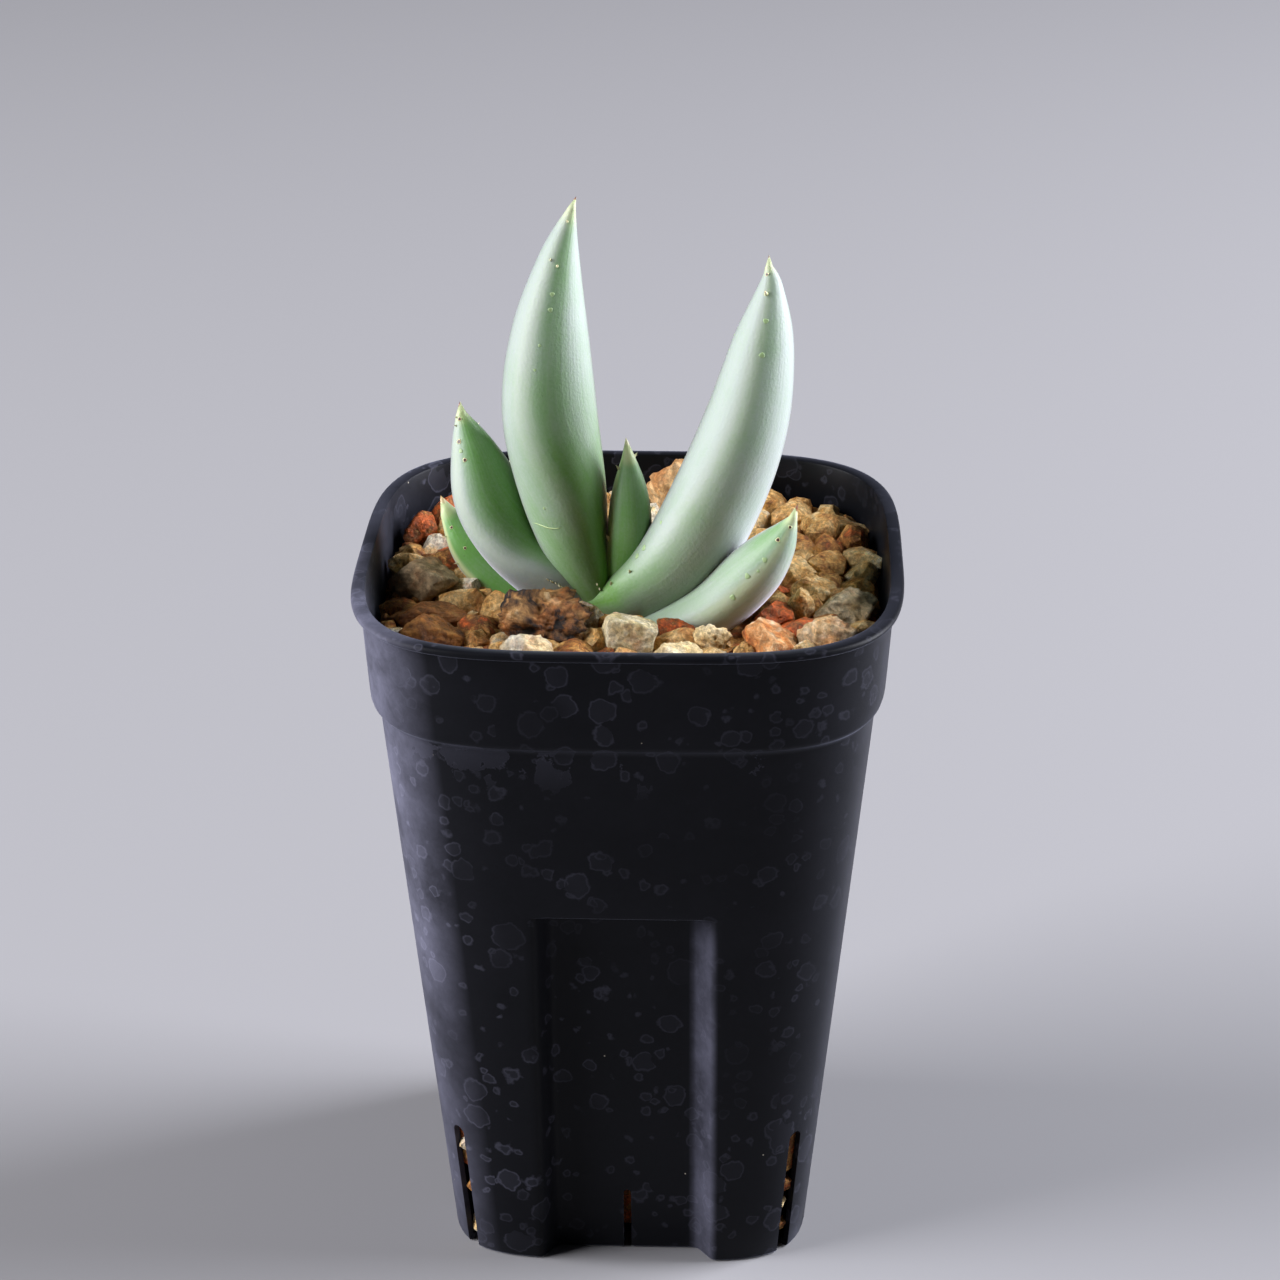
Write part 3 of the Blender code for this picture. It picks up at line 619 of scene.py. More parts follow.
def pot_rings(wall):
    """Rings from the middle of the underside, up the outside, over the lip and down the inside."""
    foot = body_half(0.0)
    rings = [
        level_ring(FLOOR_RISE, FLOOR_RING - FLOOR_RISE, FLOOR_ROUNDNESS),
        level_ring(0.3 * FLOOR_RISE, FLOOR_RING - 0.4 * FLOOR_RISE, FLOOR_ROUNDNESS),
        level_ring(0.0, FLOOR_RING + SOFT_EDGE, FLOOR_ROUNDNESS),
        level_ring(0.0, foot - FOOT_ROUND, FOOT_ROUNDNESS, CHANNEL_DEPTH),
        level_ring(0.3 * FOOT_ROUND, foot - 0.3 * FOOT_ROUND, FOOT_ROUNDNESS, CHANNEL_DEPTH),
    ]
    rings += body_rings(FOOT_ROUND, CHANNEL_HEIGHT - CHANNEL_ROUND, 10, CHANNEL_DEPTH)
    rings += channel_top_rings()
    rings += body_rings(CHANNEL_HEIGHT + 2 * CHANNEL_ROUND, BODY_TOP - SOFT_EDGE, 6, 0.0)

    # The step under the collar, hollow at its root and round at its edge
    rings += [
        level_ring(BODY_TOP + 0.15 * STEP_HEIGHT, BODY_TOP_WIDTH / 2 + 0.1 * MM, BODY_ROUNDNESS),
        level_ring(BODY_TOP + 0.75 * STEP_HEIGHT, COLLAR_FOOT_HALF - 0.45 * MM, BODY_ROUNDNESS),
        level_ring(STEP_TOP + 0.1 * MM, COLLAR_FOOT_HALF - 0.12 * MM, BODY_ROUNDNESS),
        level_ring(STEP_TOP + 0.6 * MM, COLLAR_FOOT_HALF + 0.02 * MM, BODY_ROUNDNESS),
    ]
    rings += [collar_ring(share) for share in (0.2, 0.4, 0.6, 0.8, 0.97)]

    # The lip is a full round bead on its outer side, flat on top and eased on its inner edge
    rings.append(level_ring(LIP_FOOT - 0.05 * MM, COLLAR_TOP_HALF + 0.15 * MM, RIM_ROUNDNESS))
    bead = LIP_HEIGHT / 2
    for turn in range(7):
        angle = -math.pi / 2 + turn * math.pi / 6
        z = LIP_FOOT + bead + bead * math.sin(angle)
        rings.append(level_ring(z, RIM_WIDTH / 2 - bead + bead * math.cos(angle), RIM_ROUNDNESS))
    inside = COLLAR_TOP_HALF - wall
    for drop, out in ((0.0, 0.4), (0.12, 0.12), (0.45, 0.0)):
        rings.append(level_ring(POT_HEIGHT - drop * MM, inside + out * MM, RIM_ROUNDNESS))

    rings += [collar_ring(share, wall) for share in (0.8, 0.5, 0.2, 0.0)]
    rings += body_rings(CHANNEL_HEIGHT + wall + CHANNEL_ROUND, BODY_TOP, 4, 0.0, wall)[::-1]
    rings += body_rings(FLOOR_THICKNESS, CHANNEL_HEIGHT + wall, 8, CHANNEL_DEPTH, wall)[::-1]
    rings.append(level_ring(FLOOR_THICKNESS, FLOOR_RING + FLOOR_THICKNESS, FLOOR_ROUNDNESS))
    middle = FLOOR_RING - FLOOR_RISE + FLOOR_THICKNESS
    rings.append(level_ring(FLOOR_THICKNESS + FLOOR_RISE, middle, FLOOR_ROUNDNESS))
    return rings


def slit_cutter(width, height, inner, outer, heading):
    """An upright blade with a round top, from inner to outer along its heading."""
    bm = bmesh.new()
    radius = width / 2
    steps = 10
    profile = [(-radius, -2 * MM), (radius, -2 * MM)]
    for step in range(steps + 1):
        turn = math.pi * step / steps
        profile.append((radius * math.cos(turn), height - radius + radius * math.sin(turn)))
    ends = [[Vector((x, -reach, z)) for x, z in profile] for reach in (inner, outer)]
    bm.faces.new(loft(bm, ends)[-1])
    bmesh.ops.rotate(bm, verts=bm.verts, cent=(0, 0, 0), matrix=Matrix.Rotation(heading, 3, "Z"))
    bmesh.ops.recalc_face_normals(bm, faces=bm.faces)
    return add_object("slit cutter", bm)


def cut_slits(pot):
    """Cuts the drainage slits at the corners and at the foot of each side."""
    corner = body_half(0.0) * math.sqrt(2) * 2 ** (-1 / FOOT_ROUNDNESS)
    corner_slit = (CORNER_SLIT_WIDTH, CORNER_SLIT_HEIGHT, corner - CORNER_SLIT_REACH, 0.6 * RIM_WIDTH)
    side_inner = body_half(0.0) - CHANNEL_DEPTH - SIDE_SLIT_REACH
    side_slit = (SIDE_SLIT_WIDTH, SIDE_SLIT_HEIGHT, side_inner, RIM_WIDTH / 2)
    cutters = []
    for quarter in range(4):
        heading = quarter * math.pi / 2
        cutters.append(slit_cutter(*side_slit, heading))
        cutters.append(slit_cutter(*corner_slit, heading + math.pi / 4))
    for cutter in cutters:
        cut = pot.modifiers.new("slit", "BOOLEAN")
        cut.operation = "DIFFERENCE"
        cut.solver = "EXACT"
        cut.object = cutter
    seen = pot.evaluated_get(bpy.context.evaluated_depsgraph_get())
    result = bpy.data.meshes.new_from_object(seen)
    pot.modifiers.clear()
    pot.data = result
    for cutter in cutters:
        bpy.data.objects.remove(cutter)


def dried_drops(node, place, bent, sideways):
    """Droplets of two sizes that dried with a rim, strongest on the left."""
    marks = 0.0
    for cells, smallest, largest, empty in DROPLETS:
        spots = {"Vector": bent, "Scale": cells, "Randomness": 0.9}
        distance = node(CELLS, spots, "Distance")
        pick = node(CELLS, spots, "Color")
        radius = node(SPAN, (node(PARTS, (pick,), "Red"), 0.0, 1.0, smallest, largest))
        present = node(SPAN, (node(PARTS, (pick,), "Green"), empty, empty + 0.02))
        past_rim = node(MATH, (distance, radius), operation="SUBTRACT")
        from_rim = node(MATH, (past_rim,), operation="ABSOLUTE")
        line = node(SPAN, (from_rim, 0.0, cells * DROPLET_LINE, 1.0, 0.0))
        fill = node(SPAN, (past_rim, -0.03, 0.03, 0.26, 0.0))
        drop = node(MATH, (line, fill), operation="MAXIMUM")
        mark = node(MATH, (drop, present), operation="MULTIPLY")
        marks = node(MATH, (marks, mark), operation="MAXIMUM")
    region = node(NOISE, {"Vector": place, "Scale": 42.0, "Detail": 3.0})
    wet = node(SPAN, (region, 0.42, 0.56, 0.25, 1.0))
    leftward = node(SPAN, (sideways, -0.45, 0.05, 1.0, 0.45))
    splashed = node(MATH, (marks, wet), operation="MULTIPLY")
    return node(MATH, (splashed, leftward), operation="MULTIPLY")


def lime_flakes(node, bent, across, height):
    """Chalky flakes in the shelter of the collar's foot, most of them on the left."""
    rising = node(SPAN, (height, 93.0 * MM, 101.0 * MM))
    ending = node(SPAN, (height, STEP_TOP - 0.3 * MM, STEP_TOP + 0.3 * MM, 1.0, 0.0))
    leftward = node(SPAN, (across, -34.0 * MM, 12.0 * MM, 0.19, -0.10))
    under = node(MATH, (rising, ending), operation="MULTIPLY")
    lime = node(NOISE, {"Vector": bent, "Scale": 150.0, "Detail": 5.0, "Roughness": 0.6})
    limed = node(MATH, (under, leftward, lime), operation="MULTIPLY_ADD")
    flake = node(SPAN, (limed, 0.600, 0.606, 0.0, 0.38))
    past_edge = node(MATH, (limed, 0.603), operation="SUBTRACT")
    from_edge = node(MATH, (past_edge,), operation="ABSOLUTE")
    edge = node(SPAN, (from_edge, 0.0, 0.012, 0.75, 0.0))
    outlined = node(MATH, (flake, edge), operation="MAXIMUM")
    return node(MATH, (outlined, under), operation="MULTIPLY")


def film_and_painted_highlight(node, bent, sideways, across, back, height):
    """The patchy film that running water left on the front left corner and on the +X walls of the front
    and back channels. It is also painted highlight: it is strongest at the left limb, higher up and to the
    front, and on the walls that face the left lamp, where that lamp's reflection falls."""
    smear = node(NOISE, {"Vector": bent, "Scale": 60.0, "Detail": 8.0, "Roughness": 0.7})
    film = node(SPAN, (smear, 0.34, 0.70, 0.25, 1.0))
    # Painted highlight on the front left corner, partly real film: strongest at the left limb, higher up and
    # to the front
    corner = 1.0
    left_film_and_highlight = node(SPAN, (sideways, -0.97, -0.70, 4.4, 0.08))
    upper = node(SPAN, (height, 45.0 * MM, 65.0 * MM, 0.5, 1.0))
    front_film_and_highlight = node(SPAN, (back, -22.0 * MM, 2.0 * MM, 1.0, 0.12))
    for part in (left_film_and_highlight, upper, front_film_and_highlight):
        corner = node(MATH, (corner, part), operation="MULTIPLY")
    # Painted highlight on the channels' +X walls, which face the left lamp, partly real film
    wall = 1.0
    lit_wall_start = node(SPAN, (across, 10.5 * MM, 11.8 * MM))
    lit_wall_end = node(SPAN, (across, 14.2 * MM, 15.6 * MM, 1.0, 0.0))
    below_top = node(SPAN, (height, 64.0 * MM, 71.0 * MM, 2.2, 0.0))
    for part in (lit_wall_start, lit_wall_end, below_top):
        wall = node(MATH, (wall, part), operation="MULTIPLY")
    where = node(MATH, (corner, wall), operation="MAXIMUM")
    return node(MATH, (film, where), operation="MULTIPLY")


def polypropylene(settings):
    """Black injection-moulded polypropylene, semi-gloss, IOR about 1.49. Hard water has dried on it as
    outlined droplets 1 to 5 mm across, as chalky flakes and as a thin film, and specks of dust stick to it.
    They give it a mottled grey haze where light grazes it, and leave it nearly black elsewhere. The film is
    also painted highlight of the left lamp, on the front left corner and on the channels' +X walls."""
    material, node, shader = new_material("black moulded polypropylene with water stains")
    place = node(PLACE, (), "Object")
    across, back, height = (node(AXIS, (place,), axis) for axis in "XYZ")
    half_width = node(SPAN, (height, 0.0, POT_HEIGHT, FOOT_WIDTH / 2, COLLAR_TOP_HALF))
    sideways = node(MATH, (across, half_width), operation="DIVIDE")
    wobble = node(NOISE, {"Vector": place, "Scale": 420.0, "Detail": 3.0}, "Color")
    sides = {"Factor_Float": 0.0022, "A_Vector": place, "B_Vector": wobble}
    bent = node(MIX, sides, "Result_Vector", data_type="VECTOR")

    drops = dried_drops(node, place, bent, sideways)
    flakes = lime_flakes(node, bent, across, height)
    # The film is partly painted highlight of the left lamp; through the stain it goes into the colour,
    # roughness and bump
    film = film_and_painted_highlight(node, bent, sideways, across, back, height)
    dried = node(MATH, (drops, flakes), operation="MAXIMUM")
    stain = node(MATH, (dried, film), operation="ADD")
    share = node(MATH, (stain, settings.stain), operation="MULTIPLY")
    dust = specks(node, place, 300.0, (0.93, 0.94), (0.025, 0.05), 1.0)
    colour = (*settings.plastic, 1.0)
    for amount, coat in ((share, "#9292a8"), (dust, "#b8b0a0")):
        pair = {"Factor_Float": amount, "A_Color": colour, "B_Color": linear(coat)}
        colour = node(MIX, pair, "Result_Color", data_type="RGBA")

    ripple = node(NOISE, {"Vector": place, "Scale": 60.0, "Detail": 2.0})
    relief = node(MATH, (stain, 0.12, ripple), operation="MULTIPLY_ADD")
    finish = {
        "Base Color": colour,
        "Roughness": node(SPAN, (stain, 0.0, 1.0, settings.gloss, 0.60)),
        "Normal": node(BUMP, {"Height": relief, "Strength": 0.3, "Distance": 0.25 * MM}, "Normal"),
        "IOR": 1.49,
        "Specular IOR Level": 0.08,
        "Sheen Weight": 0.22,
        "Sheen Roughness": 0.3,
        "Sheen Tint": linear("#cdd2ee"),
    }
    set_inputs(shader, finish)
    return material


def build_pot(settings):
    bm = bmesh.new()
    bm.faces.new(loft(bm, pot_rings(settings.wall))[-1])
    bmesh.ops.recalc_face_normals(bm, faces=bm.faces)
    pot = finish_piece("nursery_pot", bm, [polypropylene(settings)], ["pot"])
    cut_slits(pot)
    pot.data.set_sharp_from_angle(angle=math.radians(40))


# Grit and stones


def crushed_stone(name, shades, grain, stray, depth, light=None):
    """Crushed weathered granite and feldspar: a broken, sugary face of crystals about 0.5 mm across with
    iron stains 1 to 4 mm across, IOR about 1.54, matt with a faint glitter. It is this light, or as light
    as the attribute `tint` of each pebble says, and its patches stray this far from that."""
    material, node, shader = new_material(name)
    place = node(PLACE, (), "Object")
    if light is None:
        light = node(PAINTED, (), "Fac", attribute_name="tint")
    blotch = {"Vector": place, "Scale": 300.0 / grain, "Detail": 7.0, "Roughness": 0.68, "Distortion": 0.5}
    strayed = node(SPAN, (node(NOISE, blotch), 0.34, 0.66, -stray, stray))
    mixed = node(MATH, (light, strayed), operation="ADD", use_clamp=True)
    body = node(RAMP, (mixed,), "Color", stops=shades)

    rusty = node(NOISE, {"Vector": place, "Scale": 170.0 / grain, "Detail": 6.0, "Roughness": 0.65})
    rust = node(SPAN, (rusty, 0.51, 0.66, 0.0, 0.65))
    pale_part = node(SPAN, (mixed, 0.15, 0.45))
    iron = node(MATH, (rust, pale_part), operation="MULTIPLY")
    pair = {"Factor_Float": iron, "A_Color": body, "B_Color": linear("#b4682a")}
    rusted = node(MIX, pair, "Result_Color", data_type="RGBA")

    cell = node(CELLS, {"Vector": place, "Scale": 1700.0 / grain}, "Color")
    crystal = node(PARTS, (cell,), "Green")
    fine = node(NOISE, {"Vector": place, "Scale": 1000.0 / grain, "Detail": 8.0, "Roughness": 0.78})
    glitter = node(SPAN, (crystal, 0.0, 1.0, 0.70, 1.25))
    pitted = node(SPAN, (fine, 0.34, 0.62, 0.45, 1.22))
    tone = node(MATH, (glitter, pitted), operation="MULTIPLY")
    pair = {"Factor_Float": 1.0, "A_Color": rusted, "B_Color": tone}
    relief = node(MATH, (crystal, 0.35, fine), operation="MULTIPLY_ADD")
    finish = {
        "Base Color": node(MIX, pair, "Result_Color", data_type="RGBA", blend_type="MULTIPLY"),
        "Normal": node(BUMP, {"Height": relief, "Strength": 1.0, "Distance": depth}, "Normal"),
        "Roughness": 0.6,
        "IOR": 1.54,
        "Specular IOR Level": 0.3,
    }
    set_inputs(shader, finish)
    return material


def rock_flats(draw, flats, block):
    """The ways that a broken stone's flats face and how far out each lies. A block of 1 adds flats that are
    nearly square to each other."""
    ways = []
    for i in range(flats):
        height = 1 - 2 * (i + 0.5) / flats
        around = i * math.pi * (3 - math.sqrt(5)) + draw.uniform(-0.7, 0.7)
        level = math.sqrt(1 - height * height)
        way = Vector((level * math.cos(around), level * math.sin(around), height))
        ways.append((way.normalized(), draw.uniform(0.62, 1.0)))
    if block:
        for axis in range(3):
            for side in (-1, 1):
                lean = Vector(draw.uniform(-0.22, 0.22) for _ in range(3))
                way = Vector(side if i == axis else 0.0 for i in range(3)) + lean
                ways.append((way.normalized(), draw.uniform(0.72, 0.82) / block))
    return ways


def shape_rock(verts, middle, halves, spin, draw, flats=8, crispness=26.0, relief=0.05, block=0.0):
    """Shapes a sphere's vertices into a broken stone: flats with worn edges, then a rough surface."""
    ways = rock_flats(draw, flats, block)
    shift = Vector(draw.uniform(-50, 50) for _ in range(3))
    for vertex in verts:
        way = vertex.co.normalized()
        total = sum((max(way.dot(normal), 0.0) / reach) ** crispness for normal, reach in ways)
        size = min(total ** (-1 / crispness), 1.2)
        lumps = noise.fractal(way * 1.9 + shift, 0.8, 2.1, 5)
        crease = abs(noise.noise(way * 2.6 - shift))
        chips = noise.fractal(way * 6.5 - shift, 0.7, 2.0, 3)
        size *= 1 + relief * (1.2 * lumps - 1.8 * crease + 0.5 * chips + 0.3)
        vertex.co = middle + spin @ Vector(way[axis] * size * halves[axis] for axis in range(3))


def fit_box(verts, low, high):
    """Stretches vertices to fill the box from low to high."""
    for axis in range(3):
        least = min(vertex.co[axis] for vertex in verts)
        most = max(vertex.co[axis] for vertex in verts)
        for vertex in verts:
            share = (vertex.co[axis] - least) / (most - least)
            vertex.co[axis] = low[axis] + (high[axis] - low[axis]) * share


def build_stones():
    for node, name, grain, light, stray, seed, flats, crispness, relief, block, past in STONES:
        left, right, top, front = past
        low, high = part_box(node)
        low = Vector(low) - Vector((left, front, 0.0)) * MM
        high = Vector(high) + Vector((right, 0.0, top)) * MM
        bm = bmesh.new()
        made = bmesh.ops.create_icosphere(bm, subdivisions=5, radius=1.0)["verts"]
        draw = random.Random(seed)
        halves = (high - low) / 2
        shape_rock(made, (low + high) / 2, halves, Matrix.Identity(3), draw, flats, crispness, relief, block)
        fit_box(made, low, high)
        last = len(STONE_SHADES[node]) - 1
        shades = [(i / last, shade) for i, shade in enumerate(STONE_SHADES[node])]
        material = crushed_stone(name.replace("_", " "), shades, grain, stray, 0.55 * MM, light)
        finish_piece(name, bm, [material], [node])


def bed_height(y):
    return BED_TOP + BED_SLOPE * y


def free_of(spots, x, y, size):
    """True where a pebble this large keeps its distance from the spots already taken."""
    for other_x, other_y, other_size in spots:
        if math.hypot(x - other_x, y - other_y) < PEBBLE_SPACING * (size + other_size):
            return False
    return True


def inside_pot(x, y, size, wall):
    half = COLLAR_FOOT_HALF - wall - 0.85 * size
    return abs(x) ** BODY_ROUNDNESS + abs(y) ** BODY_ROUNDNESS < half**BODY_ROUNDNESS


def taken_spots():
    """The places on the grit that leaves, larger stones and placed pebbles take up."""
    spots = [(CROWN.x, CROWN.y, 4 * MM)]
    for name in LEAVES:
        for step in range(9):
            middle, _, _, _, _, half_wide = leaf_frame(name, step / 16)
            if middle.z < BED_TOP + 7 * MM:
                spots.append((middle.x, middle.y - 0.5 * half_wide, half_wide))
    for node, *_ in STONES:
        low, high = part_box(node)
        middle = (low + high) / 2
        half = (high - low) / 2
        size = min(half.x, half.y)
        for step in (-1, 0, 1):
            spots.append((middle.x + step * (half.x - size), middle.y + step * (half.y - size), 0.9 * size))
    for middle, halves, _, _ in PLACED_PEBBLES:
        spots.append((middle[0] * MM, middle[1] * MM, 0.9 * MM * (halves[0] + halves[1]) / 2))
    return spots


def scatter(taken, sizes, tries, draw, wall):
    """New spots for pebbles of these half sizes, large ones first."""
    first = len(taken)
    for size in sizes:
        for _ in range(tries):
            x = draw.uniform(-COLLAR_FOOT_HALF, COLLAR_FOOT_HALF)
            y = draw.uniform(-COLLAR_FOOT_HALF, COLLAR_FOOT_HALF)
            own = size * draw.uniform(0.88, 1.12)
            if inside_pot(x, y, own, wall) and free_of(taken, x, y, own):
                taken.append((x, y, own))
    return taken[first:]


def add_pebble(bm, tint, middle, halves, turn, shade, draw, detail, **shape):
    """Adds one small stone, with its shade in the layer `tint`."""
    made = bmesh.ops.create_icosphere(bm, subdivisions=detail, radius=1.0)["verts"]
    tilt = Matrix.Rotation(draw.uniform(-0.3, 0.3), 3, "X")
    shape_rock(made, middle, halves, Matrix.Rotation(turn, 3, "Z") @ tilt, draw, **shape)
    for vertex in made:
        vertex[tint] = shade


def slit_pebble_place(quarter, z, size, wall):
    """Where a pebble lies against the inside of a corner, by quarter turns from the front left one."""
    reach = body_half(z) * 2 ** (0.5 - 1 / body_roundness(z)) - wall - 0.8 * size
    way = Matrix.Rotation(quarter * math.pi / 2, 3, "Z") @ Vector((-reach, -reach, 0)) / math.sqrt(2)
    return way + Vector((0, 0, z))


def build_grit(settings, wall):
    draw = random.Random(settings.seed)
    bm = bmesh.new()
    tint = bm.verts.layers.float.new("tint")
    for middle, halves, shade, turn in PLACED_PEBBLES:
        place = Vector(middle) * MM
        halves = Vector(halves) * MM
        add_pebble(bm, tint, place, halves, math.radians(turn), shade, draw, 4, relief=0.07, crispness=20.0)
    for quarter, height, half_size, shade in SLIT_PEBBLES:
        size = half_size * MM
        place = slit_pebble_place(quarter, height * MM, size, wall)
        turn = (quarter - 1) * math.pi / 2
        add_pebble(bm, tint, place, Vector((size, size, size)), turn, shade, draw, 3)

    taken = taken_spots()
    for x, y, size in scatter(taken, PEBBLE_SIZES, PEBBLE_TRIES, draw, wall):
        wide = size * draw.uniform(0.95, 1.25)
        deep = size * draw.uniform(0.75, 1.0)
        tall = size * draw.uniform(0.65, 1.0)
        place = Vector((x, y, bed_height(y) + draw.uniform(0.1, 0.5) * size))
        shade = min(max(draw.gauss(0.52, 0.22), 0.02), 0.98)
        detail = 3 if y < FRONT_STRIP else 2
        shape = {"relief": draw.uniform(0.03, 0.08), "flats": draw.randrange(5, 9)}
        turn = draw.uniform(0, math.pi)
        add_pebble(bm, tint, place, Vector((wide, deep, tall)), turn, shade, draw, detail, **shape)
    grains = [(x, y, 0.75 * size) for x, y, size in taken]
    for x, y, size in scatter(grains, (GRAIN_SIZE,), GRAIN_TRIES, draw, wall):
        place = Vector((x, y, bed_height(y) + 0.5 * size))
        shade = draw.uniform(0.05, 0.8)
        turn = draw.uniform(0, math.pi)
        add_pebble(bm, tint, place, Vector((size, size, 0.8 * size)), turn, shade, draw, 1, flats=7)
    granite = crushed_stone("mixed granite grit", GRIT_SHADES, 0.8, 0.3, 0.5 * MM)
    finish_piece("grit_pebbles", bm, [granite], ["grit_bed"], sharp=24)
    build_fill(granite, wall)


def build_fill(granite, wall):
    """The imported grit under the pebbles, uneven on top."""
    bm = bmesh.new()
    tint = bm.verts.layers.float.new("tint")
    inset = wall + 0.25 * MM
    foot = FLOOR_THICKNESS + FLOOR_RISE + 0.2 * MM
    slit_top = SIDE_SLIT_HEIGHT + 2 * MM
    # It stands back behind the slits, where loose pebbles show
    rings = body_rings(foot, slit_top, 6, CHANNEL_DEPTH, inset + 2.4 * MM)
    rings += body_rings(slit_top + 1.5 * MM, CHANNEL_HEIGHT + inset, 20, CHANNEL_DEPTH, inset)
    rings += body_rings(CHANNEL_HEIGHT + inset + 0.2 * MM, BODY_TOP, 4, 0.0, inset)
    for z in (STEP_TOP, BED_TOP):
        rings.append(level_ring(z, COLLAR_FOOT_HALF - inset, BODY_ROUNDNESS))
    rim = rings[-1]
    for share in (0.94, 0.86, 0.77, 0.67, 0.56, 0.44, 0.3, 0.15, 0.05):
        rings.append([Vector((p.x * share, p.y * share, BED_TOP)) for p in rim])
    bm.faces.new(loft(bm, rings)[-1])
    for vertex in bm.verts:
        rough = noise.fractal(vertex.co * 300.0, 1.0, 2.0, 3)
        vertex[tint] = 0.2 + 0.2 * rough
        if vertex.co.z > BED_TOP - 0.1 * MM:
            vertex.co.z += BED_SLOPE * vertex.co.y - 0.6 * MM + 0.9 * MM * rough
    bmesh.ops.recalc_face_normals(bm, faces=bm.faces)
    finish_piece("grit_fill", bm, [granite], [])


# Plant


def curve_value(values, place):
    """The value at `place`, from 0 to 1, on a smooth curve through evenly spaced values."""
    last = len(values) - 1
    at = min(max(place * last, 0.0), last - 1e-9)
    i = int(at)
    t = at - i
    a = values[max(i - 1, 0)]
    b = values[i]
    c = values[i + 1]
    d = values[min(i + 2, last)]
    return b + 0.5 * t * (c - a + t * (2 * a - 5 * b + 4 * c - d + t * (3 * (b - c) + d - a)))


def leaf_frame(name, place):
    """Middle, tangent, width axis, thickness axis and half sizes of a leaf at `place` along it."""
    heading, stations, _ = LEAVES[name]
    columns = list(zip(*stations))
    along = Vector((math.cos(math.radians(heading)), math.sin(math.radians(heading)), 0))
    front = Vector((along.y, -along.x, 0))
    if front.y > 0:
        front = -front

    def middle(at):
        reach = curve_value(columns[0], at) * MM
        return CROWN + along * reach + Vector((0, 0, curve_value(columns[1], at) * MM))

    step = 0.01
    tangent = (middle(min(place + step, 1)) - middle(max(place - step, 0))).normalized()
    outward = (along - tangent * along.dot(tangent)).normalized()
    turn = math.radians(curve_value(columns[4], place))
    width_axis = front * math.cos(turn) - outward * math.sin(turn)
    thick_axis = outward * math.cos(turn) + front * math.sin(turn)
    half_thick = curve_value(columns[2], place) * MM
    half_wide = curve_value(columns[3], place) * MM
    return middle(place), tangent, width_axis, thick_axis, half_thick, half_wide


def skin_point(name, place, turn):
    """A point of the leaf's skin, `turn` from its near margin round its outer face."""
    middle, _, wide, thick, half_thick, half_wide = leaf_frame(name, place)
    bulge = math.copysign(abs(math.sin(turn)) ** MARGIN_KEENNESS, math.sin(turn))
    return middle + wide * half_wide * math.cos(turn) + thick * half_thick * bulge


def skin_normal(name, place, turn):
    """The way out of the leaf's skin at that point."""
    step = 0.004
    low = max(place - step, 0.0)
    high = min(place + step, 1.0)
    along = skin_point(name, high, turn) - skin_point(name, low, turn)
    around = skin_point(name, place, turn + step) - skin_point(name, place, turn - step)
    out = around.cross(along).normalized()
    middle = leaf_frame(name, place)[0]
    return -out if out.dot(skin_point(name, place, turn) - middle) < 0 else out


def spine_tip(name):
    heading, _, (reach, height) = LEAVES[name]
    way = Vector((math.cos(math.radians(heading)), math.sin(math.radians(heading)), 0))
    return CROWN + way * reach * MM + Vector((0, 0, height * MM))


def wax_and_painted_light_at(name, place, turn):
    """How much wax lies on the skin there, from 0 to 1, with painted shade and painted light worked into it.
    """
    outer_base, outer_tip, inner_base, inner_tip, start, end = BLOOM[name]
    share = smooth_step(start, end, place)
    outer = outer_base + (outer_tip - outer_base) * share
    inner = inner_base + (inner_tip - inner_base) * share
    # Painted light: on some leaves the bloom comes further round the near margin and widens the pale strip
    # where the left lamp falls
    edge = BLOOM_EDGE_AND_PAINTED_LIGHT.get(name, 0.0)
    wax = inner + (outer - inner) * smooth_step(edge - 0.45, edge + 0.45, math.sin(turn))
    # Painted shade: the stripe thins the bloom so that the skin shows greener and darker along the band that
    # neither lamp reaches
    degrees, shade_base, shade_tip = PAINTED_SHADE_STRIPE.get(name, (0, 0.0, 0.0))
    bare = shade_base + (shade_tip - shade_base) * share
    return wax * (1 - bare * smooth_step(0.86, 1.0, math.cos(turn - math.radians(degrees))))


def add_leaf_skin(bm, name, paint):
    """The leaf's closed skin, painted with what its material reads."""
    places = [step / (LEAF_RINGS - 1) for step in range(LEAF_RINGS)]
    turns = [2 * math.pi * i / LEAF_SIDES for i in range(LEAF_SIDES)]
    rings = loft(bm, [[skin_point(name, place, turn) for turn in turns] for place in places])
    for place, ring in zip(places, rings):
        tip_yellow = 0.7 * smooth_step(0.91, 1.0, place)
        edge_yellow = EDGE_YELLOW[name] * smooth_step(0.1, 0.7, place)
        for vertex, turn in zip(ring, turns):
            margin = smooth_step(0.93, 1.0, abs(math.cos(turn)))
            vertex[paint["along"]] = place
            vertex[paint["across"]] = math.cos(turn)
            vertex[paint["inner"]] = 0.5 - 0.5 * math.sin(turn)
            # The bloom layer holds the wax, with painted shade along the stripe and painted light round the
            # margin
            vertex[paint["bloom"]] = wax_and_painted_light_at(name, place, turn)
            vertex[paint["yellow"]] = max(tip_yellow, edge_yellow * margin)
    tip = close_cone(bm, rings[-1], spine_tip(name))
    tip[paint["along"]] = 1.0
    tip[paint["yellow"]] = 1.0
    bmesh.ops.recalc_face_normals(bm, faces=bm.faces)


